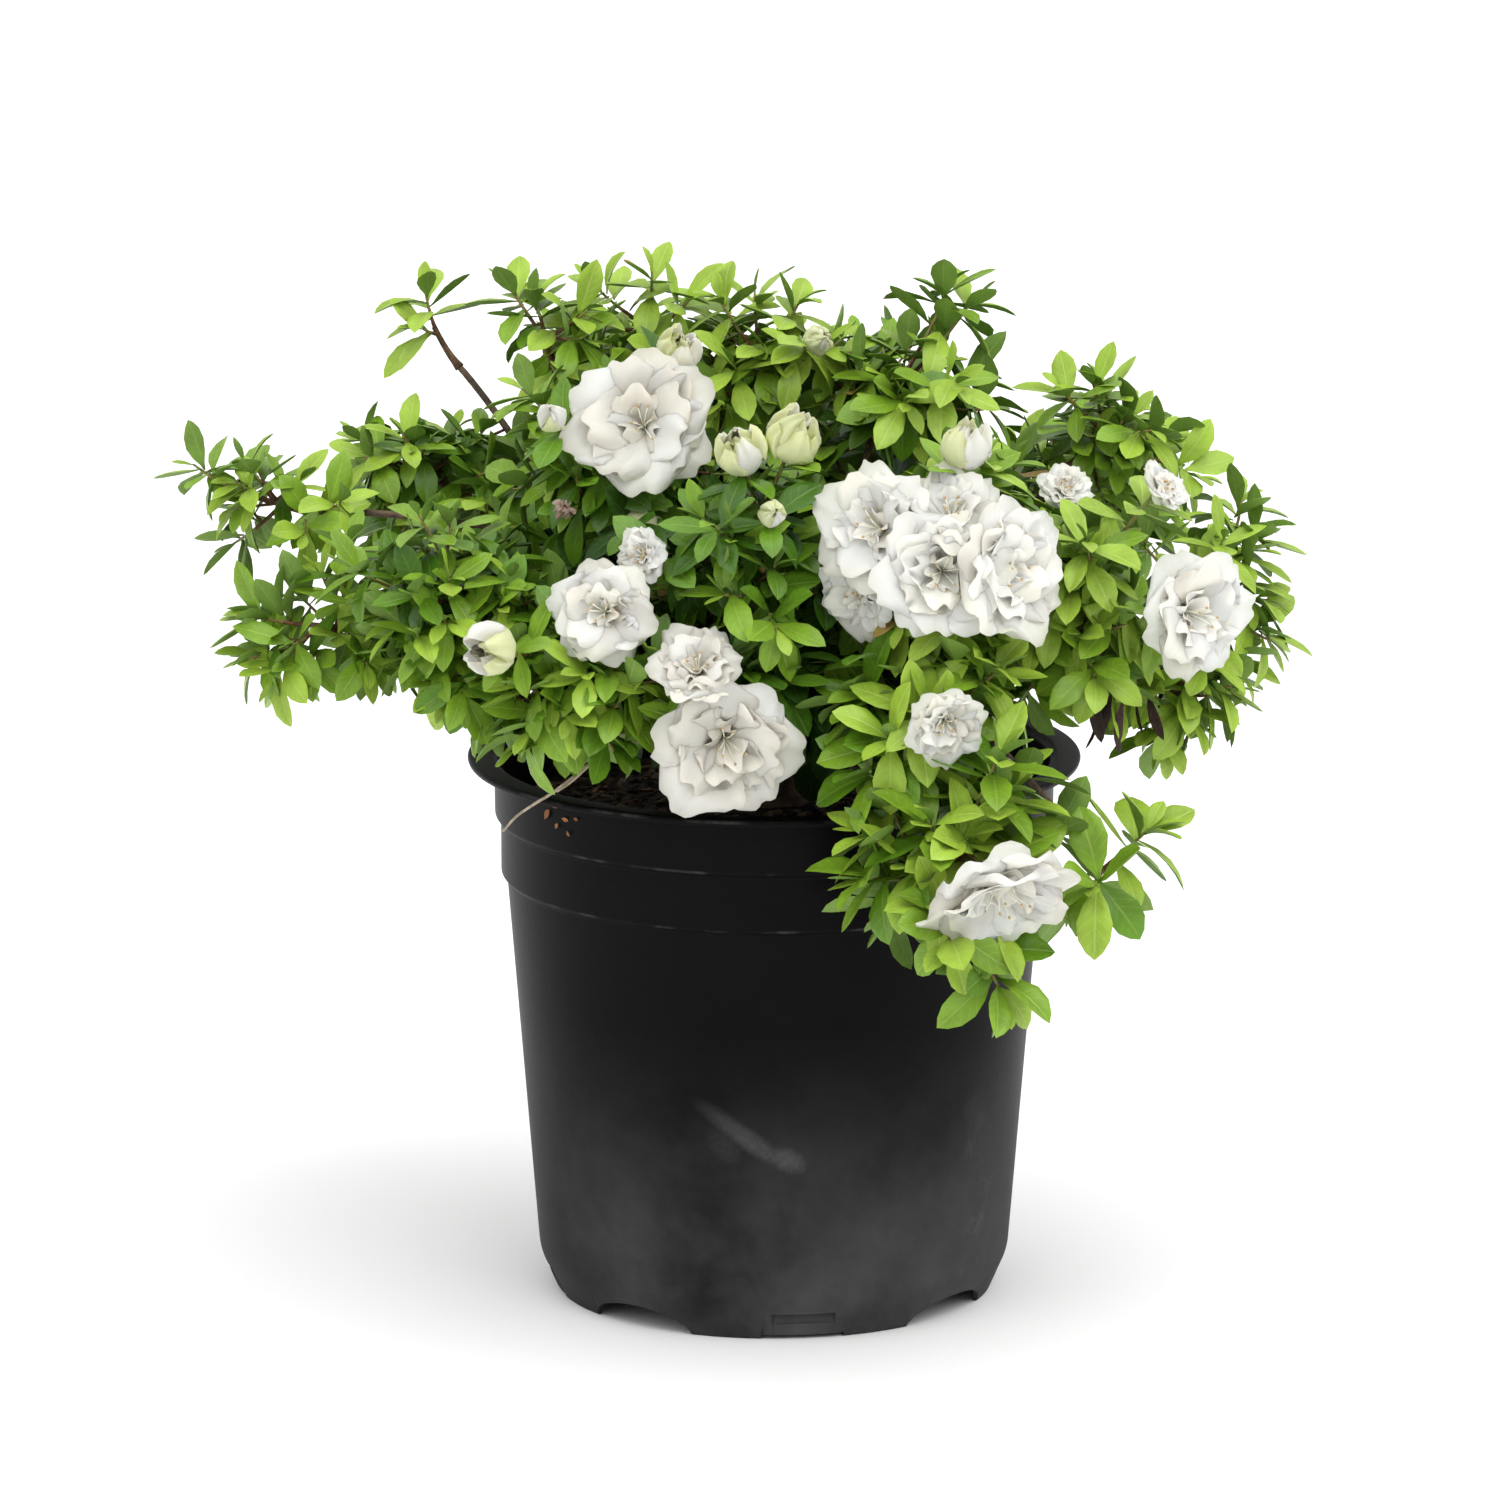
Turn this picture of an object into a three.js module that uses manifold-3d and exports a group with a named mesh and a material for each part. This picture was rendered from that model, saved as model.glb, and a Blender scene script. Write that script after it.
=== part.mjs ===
// A potted azalea shrub. Millimetres, +Z up, the front towards -Y, the origin under the pot's floor.
// The pot, the potting mix and the short trunk come first. Boughs leave the trunk or one another,
// and each ends just short of a stem, whose mass of twigs, leaves and blossom keeps to its own space.
import * as THREE from "three";
import { mergeVertices } from "three/addons/utils/BufferGeometryUtils.js";
import Module from "manifold-3d";

const wasm = await Module();
wasm.setup();

// Driving dimensions
const JOINT_GAP = 0.3; // clearance between solids that meet
const MASS_GAP = 0.4; // half of the clearance between neighbouring masses
const LIMB_MARGIN = 1.6; // clearance of foliage from any limb
const SEED = 4067;

const POT = {
  height: 250,
  lipRadius: 140,
  lipThick: 3.4,
  lipUnder: [1, 0.6], // bevel of the lip's lower edge, across and up
  lipOver: [1.2, 1.6], // bevel of its upper edge
  mouthEdge: 1, // how far inside the collar the mouth opens
  wall: 2.5,
  floor: 3,
  collarRadius: 127.5,
  collarFoot: 220,
  collarDraft: 0.4, // how much wider the collar is under the lip
  bandRadius: 124.8,
  bandFoot: 193,
  bodyTopRadius: 122.1,
  chamferRadius: 107.8,
  chamferHeight: 18,
  footRadius: 100,
  padRadius: 57, // the middle of the underside, which stands on the ground
  channelHeight: 11, // how far the ring between it and the feet is raised
  channelSlope: 3,
  step: 2.4, // rise of each moulded step
  facets: 36,
  facetSag: 0.47, // how far a facet's middle lies inside its circle, with some to spare
  feet: 4,
  footHeading: 7.4,
  drainWidth: [54, 26], // of the gap between two feet, on the ground and at its top
  slotWidth: [28, 28],
  slotHeight: 5,
  slotFoot: 8,
  archWidth: [38, 36],
  archHeight: 2,
  footDepth: 12, // how far in from the foot's edge the drains and arches reach
  slotDepth: 2.4, // how far out from the foot's edge the floor of a slot lies
  cutFrom: -1, // height from which a drain or an arch is cut
  cutBeyond: 10, // how far a cut runs on past the chamfer
  hollow: 5, // how far in from the collar foliage may dip below the lip
  clear: 2, // least clearance of foliage from the pot
};
const SOIL = { top: 226, slope: 3, bump: 1.3, facets: 18, flat: 24 };
const TRUNK = { foot: SOIL.top + JOINT_GAP, fork: 270, lean: 4, sides: 8 };
const TRUNK_TAPER = [
  // share of the height, radius
  [0, 14],
  [0.08, 10.8],
  [0.24, 9],
  [0.55, 8.2],
  [0.85, 7.6],
  [1, 6.4],
];
const BOUGH = {
  steps: 4,
  branchSteps: 3,
  sides: 5,
  branchSides: 4,
  thickest: 4,
  share: 0.72, // of its parent's radius
  tipShare: 0.5, // of its own radius
  tipLeast: 1.5,
  short: 0.72, // where it stops, as a share of its mass's spread
  follow: 0.35, // how much of its parent's direction it starts with
  climb: 0.25,
  forkAlong: 0.78,
  forkAcross: 0.62, // least part of its start that leads away from its parent
  bend: 0.48, // where it bends, as a share of its span
};
const TWIG = {
  sides: 3,
  stem: 2.1,
  stemTip: 1.5,
  stemPast: 0.08, // how far the stem passes the mass's middle, as a share of its spread
  shoot: 0.95,
  tip: 0.85,
  topShare: 0.93, // where on the stem the first shoot leaves
  bloomStep: 0.12, // how much lower each stalk before a blossom's leaves
  step: 0.55, // how far down the stem the spiral of shoots runs
  length: 0.5, // of the mass's spread
  longer: 0.2,
  lift: 0.12,
  sweep: 1.6, // how far the spiral runs from the stem's end towards its root
  apart: 0.86, // closest that a shoot of the spiral points to a tip or a blossom
  shrinks: [1, 0.8, 0.62, 0.45],
};
const LEAF = {
  length: 45,
  width: 19,
  keel: 1.7,
  wideAt: 0.55,
  keelAt: 0.45,
  least: 0.84,
  longer: 0.28,
  late: 0.85, // length of a leaf that found no room at first
  spacing: 4.4,
  neck: 0.28,
  apart: 2,
  tries: 8,
  tryTurn: 40,
  perShoot: 5,
  perBloom: 3,
  tilt: [40, 82], // from the shoot's direction, highest leaf and lowest
  bloomTilt: [76, 100],
  droop: 0.08,
  faceAhead: 0.7,
  faceUp: 0.8,
};
const BLOOM = {
  lobes: 5,
  openRadius: 17, // smaller ones are buds
  seat: 0.36, // its middle beyond its stalk, as a share of its radius
  ball: 0.8, // the ball that keeps leaves out
  ballOut: 0.1,
  notch: 0.24,
  under: 0.42,
  shrinks: [1, 0.88, 0.76, 0.64],
};
const REACH = 1.28; // how far foliage may stand out, as a share of its mass's spread
const ARM = { radius: 12, room: 10 }; // room about a long tip, and about a bloom beyond its radius
const DETAIL = 0.08; // finest detail kept when a mass is fused
const CHECKS = 6; // steps along a twig or leaf edge that are kept clear of the pot
const GOLDEN = 137.508;

// Masses: heading from the front towards +X, reach from the axis, height, spread and shoots.
// Tips and blooms are aimed from the mass's middle: heading, rise, distance, then a bloom's radius
// and the heading and rise that it faces.
const MASSES = [
  { name: "left_reach", at: [-86, 228, 370], spread: 37, shoots: 4, tips: [[-92, 26, 50]] },
  { name: "left_low", at: [-71, 217, 325], spread: 39, shoots: 4, tips: [[-59, -45, 42]] },
  { name: "left_shoulder", at: [-99, 161, 376], spread: 34, shoots: 5 },
  { name: "left_upper_sprig", at: [-106, 160, 437], spread: 28, shoots: 3, tips: [[-99, 75, 30]] },
  { name: "top_left", at: [-98, 105, 441], spread: 31, shoots: 3, tips: [[-128, 68, 28]] },
  { name: "left_front", at: [-53.5, 177, 343], spread: 45, shoots: 5, tips: [[-40, -62, 46]] },
  {
    name: "left_skirt",
    at: [-33, 163, 318],
    spread: 40,
    shoots: 4,
    tips: [[-60, -50, 44]],
    blooms: [[31, 49, 41, 24, -10, 12], [-42, 20, 50, 11, -40, 10]],
  },
  {
    name: "upper_front_left",
    at: [-44, 106, 402],
    spread: 42,
    shoots: 4,
    blooms: [[32, 34, 34, 33, -8, 22], [83, 56, 54, 10, 20, 50]],
  },
  { name: "top_centre", at: [-114, 62, 443], spread: 34, shoots: 5 },
  { name: "top_right_centre", at: [-140, 7, 433], spread: 35, shoots: 5 },
  {
    name: "heart_front",
    at: [-6, 127, 366],
    spread: 45,
    shoots: 5,
    blooms: [[79, 68, 54, 12, 30, 55], [-62, 7, 51, 12, -30, 15]],
  },
  {
    name: "front_blossom",
    at: [-9, 150, 302],
    spread: 34,
    shoots: 4,
    blooms: [[4, -21, 25, 33, 4, -8], [-20, 40, 40, 20, -10, 40]],
  },
  {
    name: "blossom_front",
    at: [29, 146, 368],
    spread: 47,
    shoots: 4,
    blooms: [
      [-39, 24, 46, 28, -30, 18],
      [3, 2, 46, 30, 4, 6],
      [38, 0, 48, 31, 42, 12],
      [29, 62, 54, 11, 20, 70],
    ],
  },
  { name: "upper_right", at: [80, 57, 421], spread: 37, shoots: 5, tips: [[131, 53, 64]] },
  { name: "right_shoulder", at: [95, 153, 396], spread: 36, shoots: 5, tips: [[-147, 73, 32]] },
  {
    name: "right_front",
    at: [54, 170, 342],
    spread: 39,
    shoots: 4,
    blooms: [[62, -1, 53, 28, 30, 2], [-158, 64, 50, 13, 20, 55], [90, 56, 60, 12, 60, 40]],
  },
  { name: "right_reach", at: [79, 200, 336], spread: 38, shoots: 4, tips: [[123, 42, 48]] },
  { name: "right_low", at: [71, 190, 292], spread: 32, shoots: 5 },
  { name: "front_skirt", at: [22, 168, 303], spread: 36, shoots: 5, blooms: [[18, 5, 38, 18, 8, -12]] },
  {
    name: "hanging_spray",
    at: [24, 198, 236],
    spread: 42,
    shoots: 4,
    lift: -0.2,
    tips: [[50, -62, 67]],
    blooms: [[36, 0, 34, 35, 28, -48]],
  },
  { name: "hanging_tip", at: [44, 208, 231], spread: 30, shoots: 4, lift: -0.15, tips: [[89, 12, 44]] },
  {
    name: "back_left",
    at: [-120, 190, 336],
    spread: 46,
    shoots: 4,
    blooms: [[180, -10, 46, 26, -165, 0]],
  },
  {
    name: "back_crown_left",
    at: [-142, 121, 409],
    spread: 44,
    shoots: 4,
    blooms: [[-165, -20, 42, 25, -160, 5]],
  },
  {
    name: "back_left_low",
    at: [-147.5, 196, 318],
    spread: 42,
    shoots: 4,
    blooms: [[-150, -8, 40, 20, -155, -4]],
  },
  {
    name: "back_centre",
    at: [180, 170, 355],
    spread: 46,
    shoots: 4,
    blooms: [[172, 14, 48, 27, 175, 14]],
  },
  {
    name: "back_crown",
    at: [157, 103, 398],
    spread: 44,
    shoots: 3,
    blooms: [[170, -20, 42, 23, 165, 5]],
  },
  {
    name: "back_right_low",
    at: [150, 190, 312],
    spread: 42,
    shoots: 4,
    blooms: [[130, 4, 40, 20, 125, 4]],
  },
  {
    name: "back_right",
    at: [122, 178, 358],
    spread: 46,
    shoots: 4,
    blooms: [[165, -10, 48, 26, 155, 0]],
  },
];

// Boughs: the mass that each feeds, what carries it, how far along, and how much it arches.
const BOUGHS = [
  ["top_right_centre", "trunk", 1, 0],
  ["heart_front", "trunk", 0.62, 0.1],
  ["right_front", "trunk", 0.64, 0.12],
  ["back_crown", "trunk", 0.6, 0.05],
  ["left_shoulder", "trunk", 0.66, 0.08],
  ["left_front", "trunk", 0.3, 0.12],
  ["front_skirt", "trunk", 0.32, 0.12],
  ["right_shoulder", "trunk", 0.28, 0.08],
  ["back_crown_left", "trunk", 0.32, 0.05],
  ["top_centre", "top_right_centre", 0.5, 0],
  ["upper_right", "top_right_centre", 0.32, 0],
  ["upper_front_left", "heart_front", 0.34, 0],
  ["front_blossom", "heart_front", 0.55, 0.15],
  ["blossom_front", "right_front", 0.36, 0],
  ["right_reach", "right_front", 0.62, 0.05],
  ["right_low", "right_front", 0.74, 0.12],
  ["top_left", "left_shoulder", 0.42, 0],
  ["left_reach", "left_shoulder", 0.56, 0.05],
  ["left_upper_sprig", "left_shoulder", 0.74, 0],
  ["left_skirt", "left_front", 0.42, 0.1],
  ["left_low", "left_front", 0.62, 0.1],
  ["hanging_spray", "front_skirt", 0.62, 0.2],
  ["hanging_tip", "right_front", 0.48, 0.2],
  ["back_left", "back_crown_left", 0.5, 0.08],
  ["back_left_low", "back_crown_left", 0.34, 0.12],
  ["back_centre", "back_crown", 0.46, 0.08],
  ["back_right_low", "back_crown", 0.3, 0.12],
  ["back_right", "right_shoulder", 0.42, 0.08],
];

const COLOURS = {
  pot: { color: 0x1c1d1f, roughness: 0.5, metalness: 0 },
  soil: { color: 0x3a2b21, roughness: 0.95, metalness: 0 },
  bark: { color: 0x7a5c41, roughness: 0.85, metalness: 0 },
  leaf: { color: 0x6c8f36, roughness: 0.45, metalness: 0 },
};

// Small helpers
const UP = new THREE.Vector3(0, 0, 1);
const { degToRad } = THREE.MathUtils;

/** Unit direction at a heading (0 is the front, 90 is +X) and a rise, in degrees. */
function aim(heading, rise) {
  const turn = degToRad(heading);
  const climb = degToRad(rise);
  const flat = Math.cos(climb);
  return new THREE.Vector3(flat * Math.sin(turn), -flat * Math.cos(turn), Math.sin(climb));
}

/** Seeded random numbers from 0 to 1, the same on every run. */
function seeded(seed) {
  let state = seed >>> 0;
  return () => {
    state = (state + 0x6d2b79f5) >>> 0;
    let mixed = state;
    mixed = Math.imul(mixed ^ (mixed >>> 15), mixed | 1);
    mixed ^= mixed + Math.imul(mixed ^ (mixed >>> 7), mixed | 61);
    return ((mixed ^ (mixed >>> 14)) >>> 0) / 4294967296;
  };
}

/** Two unit vectors square to a direction, the first of them level. */
function squareTo(direction) {
  const side = new THREE.Vector3().crossVectors(direction, UP);
  if (side.lengthSq() < 1e-4) side.set(1, 0, 0);
  side.normalize();
  return [side, new THREE.Vector3().crossVectors(direction, side).normalize()];
}

/** The shortest distance between segments ab and cd. */
function segmentDistance(a, b, c, d) {
  const u = b.clone().sub(a);
  const w = d.clone().sub(c);
  const r = a.clone().sub(c);
  const uu = u.dot(u);
  const ww = w.dot(w);
  const uw = u.dot(w);
  const scale = uu * ww - uw * uw;
  let s = scale > 1e-9 ? (uw * w.dot(r) - ww * u.dot(r)) / scale : 0;
  s = Math.min(1, Math.max(0, s));
  const t = Math.min(1, Math.max(0, (uw * s + w.dot(r)) / ww));
  s = Math.min(1, Math.max(0, (uw * t - u.dot(r)) / uu));
  return r.addScaledVector(u, s).addScaledVector(w, -t).length();
}

// Solids
/** A manifold solid from a closed three.js geometry. */
function solidOf(geometry) {
  const bare = geometry.clone();
  bare.deleteAttribute("normal");
  bare.deleteAttribute("uv");
  const merged = mergeVertices(bare, 1e-4);
  const index = merged.index.array;
  const triangles = [];
  for (let i = 0; i < index.length; i += 3) {
    const [a, b, c] = [index[i], index[i + 1], index[i + 2]];
    if (a !== b && b !== c && a !== c) triangles.push(a, b, c);
  }
  const vertProperties = Float32Array.from(merged.attributes.position.array);
  const triVerts = Uint32Array.from(triangles);
  return new wasm.Manifold(new wasm.Mesh({ numProp: 3, vertProperties, triVerts }));
}

/** A geometry from a manifold solid. */
function geometryOf(solid) {
  const { vertProperties, triVerts } = solid.getMesh();
  const geometry = new THREE.BufferGeometry();
  geometry.setAttribute("position", new THREE.BufferAttribute(vertProperties, 3));
  geometry.setIndex(new THREE.BufferAttribute(triVerts, 1));
  return geometry;
}

/** A manifold solid from points and faces that list them. */
function solidFrom(points, faces) {
  const geometry = new THREE.BufferGeometry();
  const places = points.flatMap((p) => [p.x, p.y, p.z]);
  geometry.setAttribute("position", new THREE.Float32BufferAttribute(places, 3));
  geometry.setIndex(faces.flat());
  return solidOf(geometry);
}

/** A closed tube of flat sides along a limb, made thicker by an amount. */
function tube({ points, radii, directions, sides = TWIG.sides }, extra = 0) {
  const vertices = [];
  let side = squareTo(directions[0])[0];
  points.forEach((point, i) => {
    const along = directions[i];
    side = side.clone().addScaledVector(along, -side.dot(along)).normalize();
    const other = new THREE.Vector3().crossVectors(along, side);
    for (let k = 0; k < sides; k++) {
      const turn = (2 * Math.PI * k) / sides;
      const out = side.clone().multiplyScalar(Math.cos(turn)).addScaledVector(other, Math.sin(turn));
      vertices.push(point.clone().addScaledVector(out, radii[i] + extra));
    }
  });
  const faces = [];
  for (let i = 0; i + 1 < points.length; i++) {
    for (let k = 0; k < sides; k++) {
      const a = i * sides + k;
      const b = i * sides + ((k + 1) % sides);
      faces.push([a, b, b + sides], [a, b + sides, a + sides]);
    }
  }
  const last = (points.length - 1) * sides;
  for (let k = 1; k + 1 < sides; k++) {
    faces.push([0, k + 1, k], [last, last + k, last + k + 1]);
  }
  return solidFrom(vertices, faces);
}

/** A solid turned about the vertical axis from a profile of radius and height. */
function turned(profile, facets, shift = () => 0) {
  const lathe = new THREE.LatheGeometry(profile.map(([r, z]) => new THREE.Vector2(r, z)), facets);
  lathe.rotateX(Math.PI / 2);
  const place = lathe.attributes.position;
  for (let i = 0; i < place.count; i++) {
    place.setZ(i, place.getZ(i) + shift(place.getX(i), place.getY(i), place.getZ(i)));
  }
  return solidOf(lathe);
}

/** A block that cuts the pot's foot at a heading, from a radius outwards, with a width at its foot and top. */
function footBlock(heading, [below, above], from, low, high) {
  const corners = [[-below, low], [below, low], [above, high], [-above, high]];
  const outline = new THREE.Shape(corners.map(([width, height]) => new THREE.Vector2(width / 2, height)));
  const depth = POT.chamferRadius + POT.cutBeyond - from;
  const block = new THREE.ExtrudeGeometry(outline, { depth, bevelEnabled: false });
  block.rotateX(Math.PI / 2);
  block.translate(0, -from, 0);
  block.rotateZ(degToRad(heading));
  return solidOf(block);
}

// Pot and potting mix
/** The outer radius of the pot's chamfered foot at a height. */
function bodyRadius(height) {
  return POT.footRadius + ((POT.chamferRadius - POT.footRadius) * height) / POT.chamferHeight;
}

/** The pot's inside from the middle of the floor to the collar, moved inwards by a gap. */
function potInside(gap) {
  const floor = POT.floor + gap;
  const inset = POT.wall + gap;
  const raised = POT.channelHeight + floor;
  return [
    [0, floor],
    [POT.padRadius - gap, floor],
    [POT.padRadius + POT.channelSlope - gap, raised],
    [bodyRadius(raised) - inset, raised],
    [POT.chamferRadius - inset, POT.chamferHeight],
    [POT.bodyTopRadius - inset, POT.bandFoot],
    [POT.bandRadius - inset, POT.collarFoot],
  ];
}

function makePot() {
  const under = POT.height - POT.lipThick;
  const outside = [
    [0, 0],
    [POT.padRadius, 0],
    [POT.padRadius + POT.channelSlope, POT.channelHeight],
    [bodyRadius(POT.channelHeight) - POT.wall, POT.channelHeight],
    [POT.footRadius - POT.wall, 0],
    [POT.footRadius, 0],
    [POT.chamferRadius, POT.chamferHeight],
    [POT.bodyTopRadius, POT.bandFoot],
    [POT.bandRadius, POT.bandFoot + POT.step],
    [POT.bandRadius, POT.collarFoot],
    [POT.collarRadius, POT.collarFoot + POT.step],
    [POT.collarRadius + POT.collarDraft, under - POT.lipUnder[1]],
    [POT.lipRadius - POT.lipUnder[0], under],
    [POT.lipRadius, POT.height - POT.lipOver[1]],
    [POT.lipRadius - POT.lipOver[0], POT.height],
  ];
  const inside = [...potInside(0), [POT.collarRadius - POT.mouthEdge, POT.height]];
  let pot = turned([...outside, ...inside.reverse()], POT.facets);
  for (let foot = 0; foot < POT.feet; foot++) {
    const heading = POT.footHeading + (360 / POT.feet) * foot;
    const between = heading + 180 / POT.feet;
    const slotTop = POT.slotFoot + POT.slotHeight;
    const deep = POT.footRadius - POT.footDepth;
    const shallow = POT.footRadius + POT.slotDepth;
    pot = pot.subtract(footBlock(between, POT.drainWidth, deep, POT.cutFrom, POT.channelHeight));
    pot = pot.subtract(footBlock(heading, POT.archWidth, deep, POT.cutFrom, POT.archHeight));
    pot = pot.subtract(footBlock(heading, POT.slotWidth, shallow, POT.slotFoot, slotTop));
  }
  return pot;
}

function makeSoil() {
  const inside = potInside(JOINT_GAP + POT.facetSag);
  const edge = inside.at(-1)[0];
  const profile = [
    ...inside,
    [edge, SOIL.top - SOIL.slope],
    [edge * 0.6, SOIL.top],
    [SOIL.flat, SOIL.top],
    [0, SOIL.top],
  ];
  const crumble = (x, y, z) => {
    const r = Math.hypot(x, y);
    if (z < SOIL.top - SOIL.slope - 0.1 || r < SOIL.flat + 1) return 0;
    const turn = Math.atan2(y, x);
    return SOIL.bump * Math.sin(3 * turn + r * 0.05) * Math.cos(5 * turn - r * 0.08);
  };
  return turned(profile, SOIL.facets, crumble);
}

// Limbs
/** Whether a point keeps clear of the pot and the potting mix. */
function clearOfPot(point) {
  const r = Math.hypot(point.x, point.y);
  if (point.z > POT.height + POT.clear || r > POT.lipRadius + POT.clear) return true;
  if (r < POT.collarRadius - POT.hollow) return point.z > SOIL.top + SOIL.bump + POT.clear;
  return r > POT.collarRadius + POT.clear && point.z < POT.height - POT.lipThick - POT.clear;
}

/** A limb along a curve: its points, its radius at each, and the direction in which it ends. */
function limbAlong(curve, steps, from, to, name) {
  const points = curve.getPoints(steps);
  const radii = points.map((_, i) => from + ((to - from) * i) / steps);
  const directions = points.map((_, i) => curve.getTangent(i / steps));
  return { name, curve, points, radii, directions, end: directions.at(-1) };
}

function trunkLimb() {
  const rise = TRUNK.fork - TRUNK.foot;
  const points = TRUNK_TAPER.map(([share]) => {
    return new THREE.Vector3(TRUNK.lean * share * share, 0, TRUNK.foot + rise * share);
  });
  const radii = TRUNK_TAPER.map(([, radius]) => radius);
  const curve = new THREE.LineCurve3(points[0], points.at(-1));
  const directions = points.map(() => UP);
  return { name: "trunk", curve, points, radii, directions, end: UP, sides: TRUNK.sides };
}

/** A limb's radius at a share of its length. */
function radiusAt(limb, share) {
  const place = share * (limb.radii.length - 1);
  const i = Math.min(Math.floor(place), limb.radii.length - 2);
  return limb.radii[i] + (limb.radii[i + 1] - limb.radii[i]) * (place - i);
}

/** The bough that leaves a parent limb and stops short of its mass. */
function boughLimb(mass, parent, share, arch) {
  const start = parent.curve.getPoint(share);
  const onTop = share === 1;
  if (onTop) start.addScaledVector(UP, JOINT_GAP);
  const span = mass.middle.distanceTo(start);
  const over = start.clone().addScaledVector(UP, arch * span);
  const stop = mass.middle.clone().sub(over).normalize();
  const finish = mass.middle.clone().addScaledVector(stop, -BOUGH.short * mass.spread);
  const along = parent.curve.getTangent(share);
  const leave = mass.middle.clone().sub(start).normalize();
  leave.lerp(along, BOUGH.follow).addScaledVector(UP, BOUGH.climb + arch).normalize();
  const across = leave.clone().addScaledVector(along, -leave.dot(along));
  if (across.length() < BOUGH.forkAcross) {
    leave.copy(along).multiplyScalar(BOUGH.forkAlong);
    leave.addScaledVector(across.normalize(), BOUGH.forkAcross).normalize();
  }
  if (onTop) leave.copy(UP);
  const bend = start.clone().addScaledVector(leave, BOUGH.bend * start.distanceTo(finish));
  const thick = Math.min(BOUGH.thickest, BOUGH.share * radiusAt(parent, share));
  const thin = Math.max(BOUGH.tipLeast, BOUGH.tipShare * thick);
  const curve = new THREE.QuadraticBezierCurve3(start, bend, finish);
  const main = parent.name === "trunk";
  const steps = main ? BOUGH.steps : BOUGH.branchSteps;
  const limb = limbAlong(curve, steps, thick, thin, `bough_${mass.name}`);
  return { ...limb, parent, sides: main ? BOUGH.sides : BOUGH.branchSides };
}

/** The stem on which a mass grows, from just beyond its bough's tip to the mass's middle. */
function stemLimb(mass, bough) {
  const start = bough.points.at(-1).clone().addScaledVector(bough.end, JOINT_GAP);
  const reach = start.distanceTo(mass.middle);
  const bend = start.clone().addScaledVector(bough.end, 0.5 * reach);
  const finish = mass.middle.clone().addScaledVector(bough.end, TWIG.stemPast * mass.spread);
  const curve = new THREE.QuadraticBezierCurve3(start, bend, finish);
  return limbAlong(curve, 2, TWIG.stem, TWIG.stemTip, `stem_${mass.name}`);
}

/** A bough's solid, cut clear of the limb that carries it. */
function makeBough(bough) {
  const solid = tube(bough);
  const { parent } = bough;
  if (bough.points[0].distanceTo(parent.points.at(-1)) < 2 * JOINT_GAP) return solid;
  return largest(solid.subtract(tube(parent, JOINT_GAP)));
}

/** The largest closed body of a solid. */
function largest(solid) {
  return solid.decompose().reduce((best, body) => (body.volume() > best.volume() ? body : best));
}

// Foliage
/** Whether a point lies in a mass's own space, clear of every neighbour's. */
function inOwnSpace(mass, point) {
  const own = point.distanceToSquared(mass.middle) - mass.spread ** 2;
  for (const other of MASSES) {
    if (other === mass) continue;
    const apart = mass.middle.distanceTo(other.middle);
    const theirs = point.distanceToSquared(other.middle) - other.spread ** 2;
    if ((theirs - own) / (2 * apart) < MASS_GAP) return false;
  }
  return true;
}

/** Whether a point lies within a mass's reach, or close to one of its long tips. */
function withinReach(mass, point) {
  if (point.distanceTo(mass.middle) < REACH * mass.spread) return true;
  const nearest = new THREE.Vector3();
  return mass.arms.some(({ axis, room }) => {
    return axis.closestPointToPoint(point, true, nearest).distanceTo(point) < room;
  });
}

/** Whether segments keep clear of every limb but a mass's own stem. */
function clearOfLimbs(mass, segments, limbs) {
  return segments.every(([a, b]) => {
    return limbs.every((limb) => {
      if (limb === mass.stem) return true;
      return limb.points.every((point, i) => {
        if (i === 0) return true;
        const radius = Math.max(limb.radii[i - 1], limb.radii[i]);
        return segmentDistance(a, b, limb.points[i - 1], point) > radius + LIMB_MARGIN;
      });
    });
  });
}

/** Whether a set of points, joined by segments, may stand in a mass. */
function fits(mass, points, segments, limbs) {
  if (!points.every((p) => inOwnSpace(mass, p) && withinReach(mass, p))) return false;
  for (const [a, b] of segments) {
    for (let i = 0; i <= CHECKS; i++) {
      if (!clearOfPot(a.clone().lerp(b, i / CHECKS))) return false;
    }
  }
  return clearOfLimbs(mass, segments, limbs);
}

/** A straight shoot from the stem, raised or lowered a little towards its tip. */
function shootFrom(mass, share, direction, length, lift) {
  const start = mass.stem.curve.getPoint(share);
  const finish = start.clone().addScaledVector(direction, length).addScaledVector(UP, lift * length);
  const ahead = finish.clone().sub(start);
  const reach = ahead.length();
  ahead.normalize();
  return { points: [start, finish], radii: [TWIG.shoot, TWIG.tip], directions: [ahead, ahead], reach };
}

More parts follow.
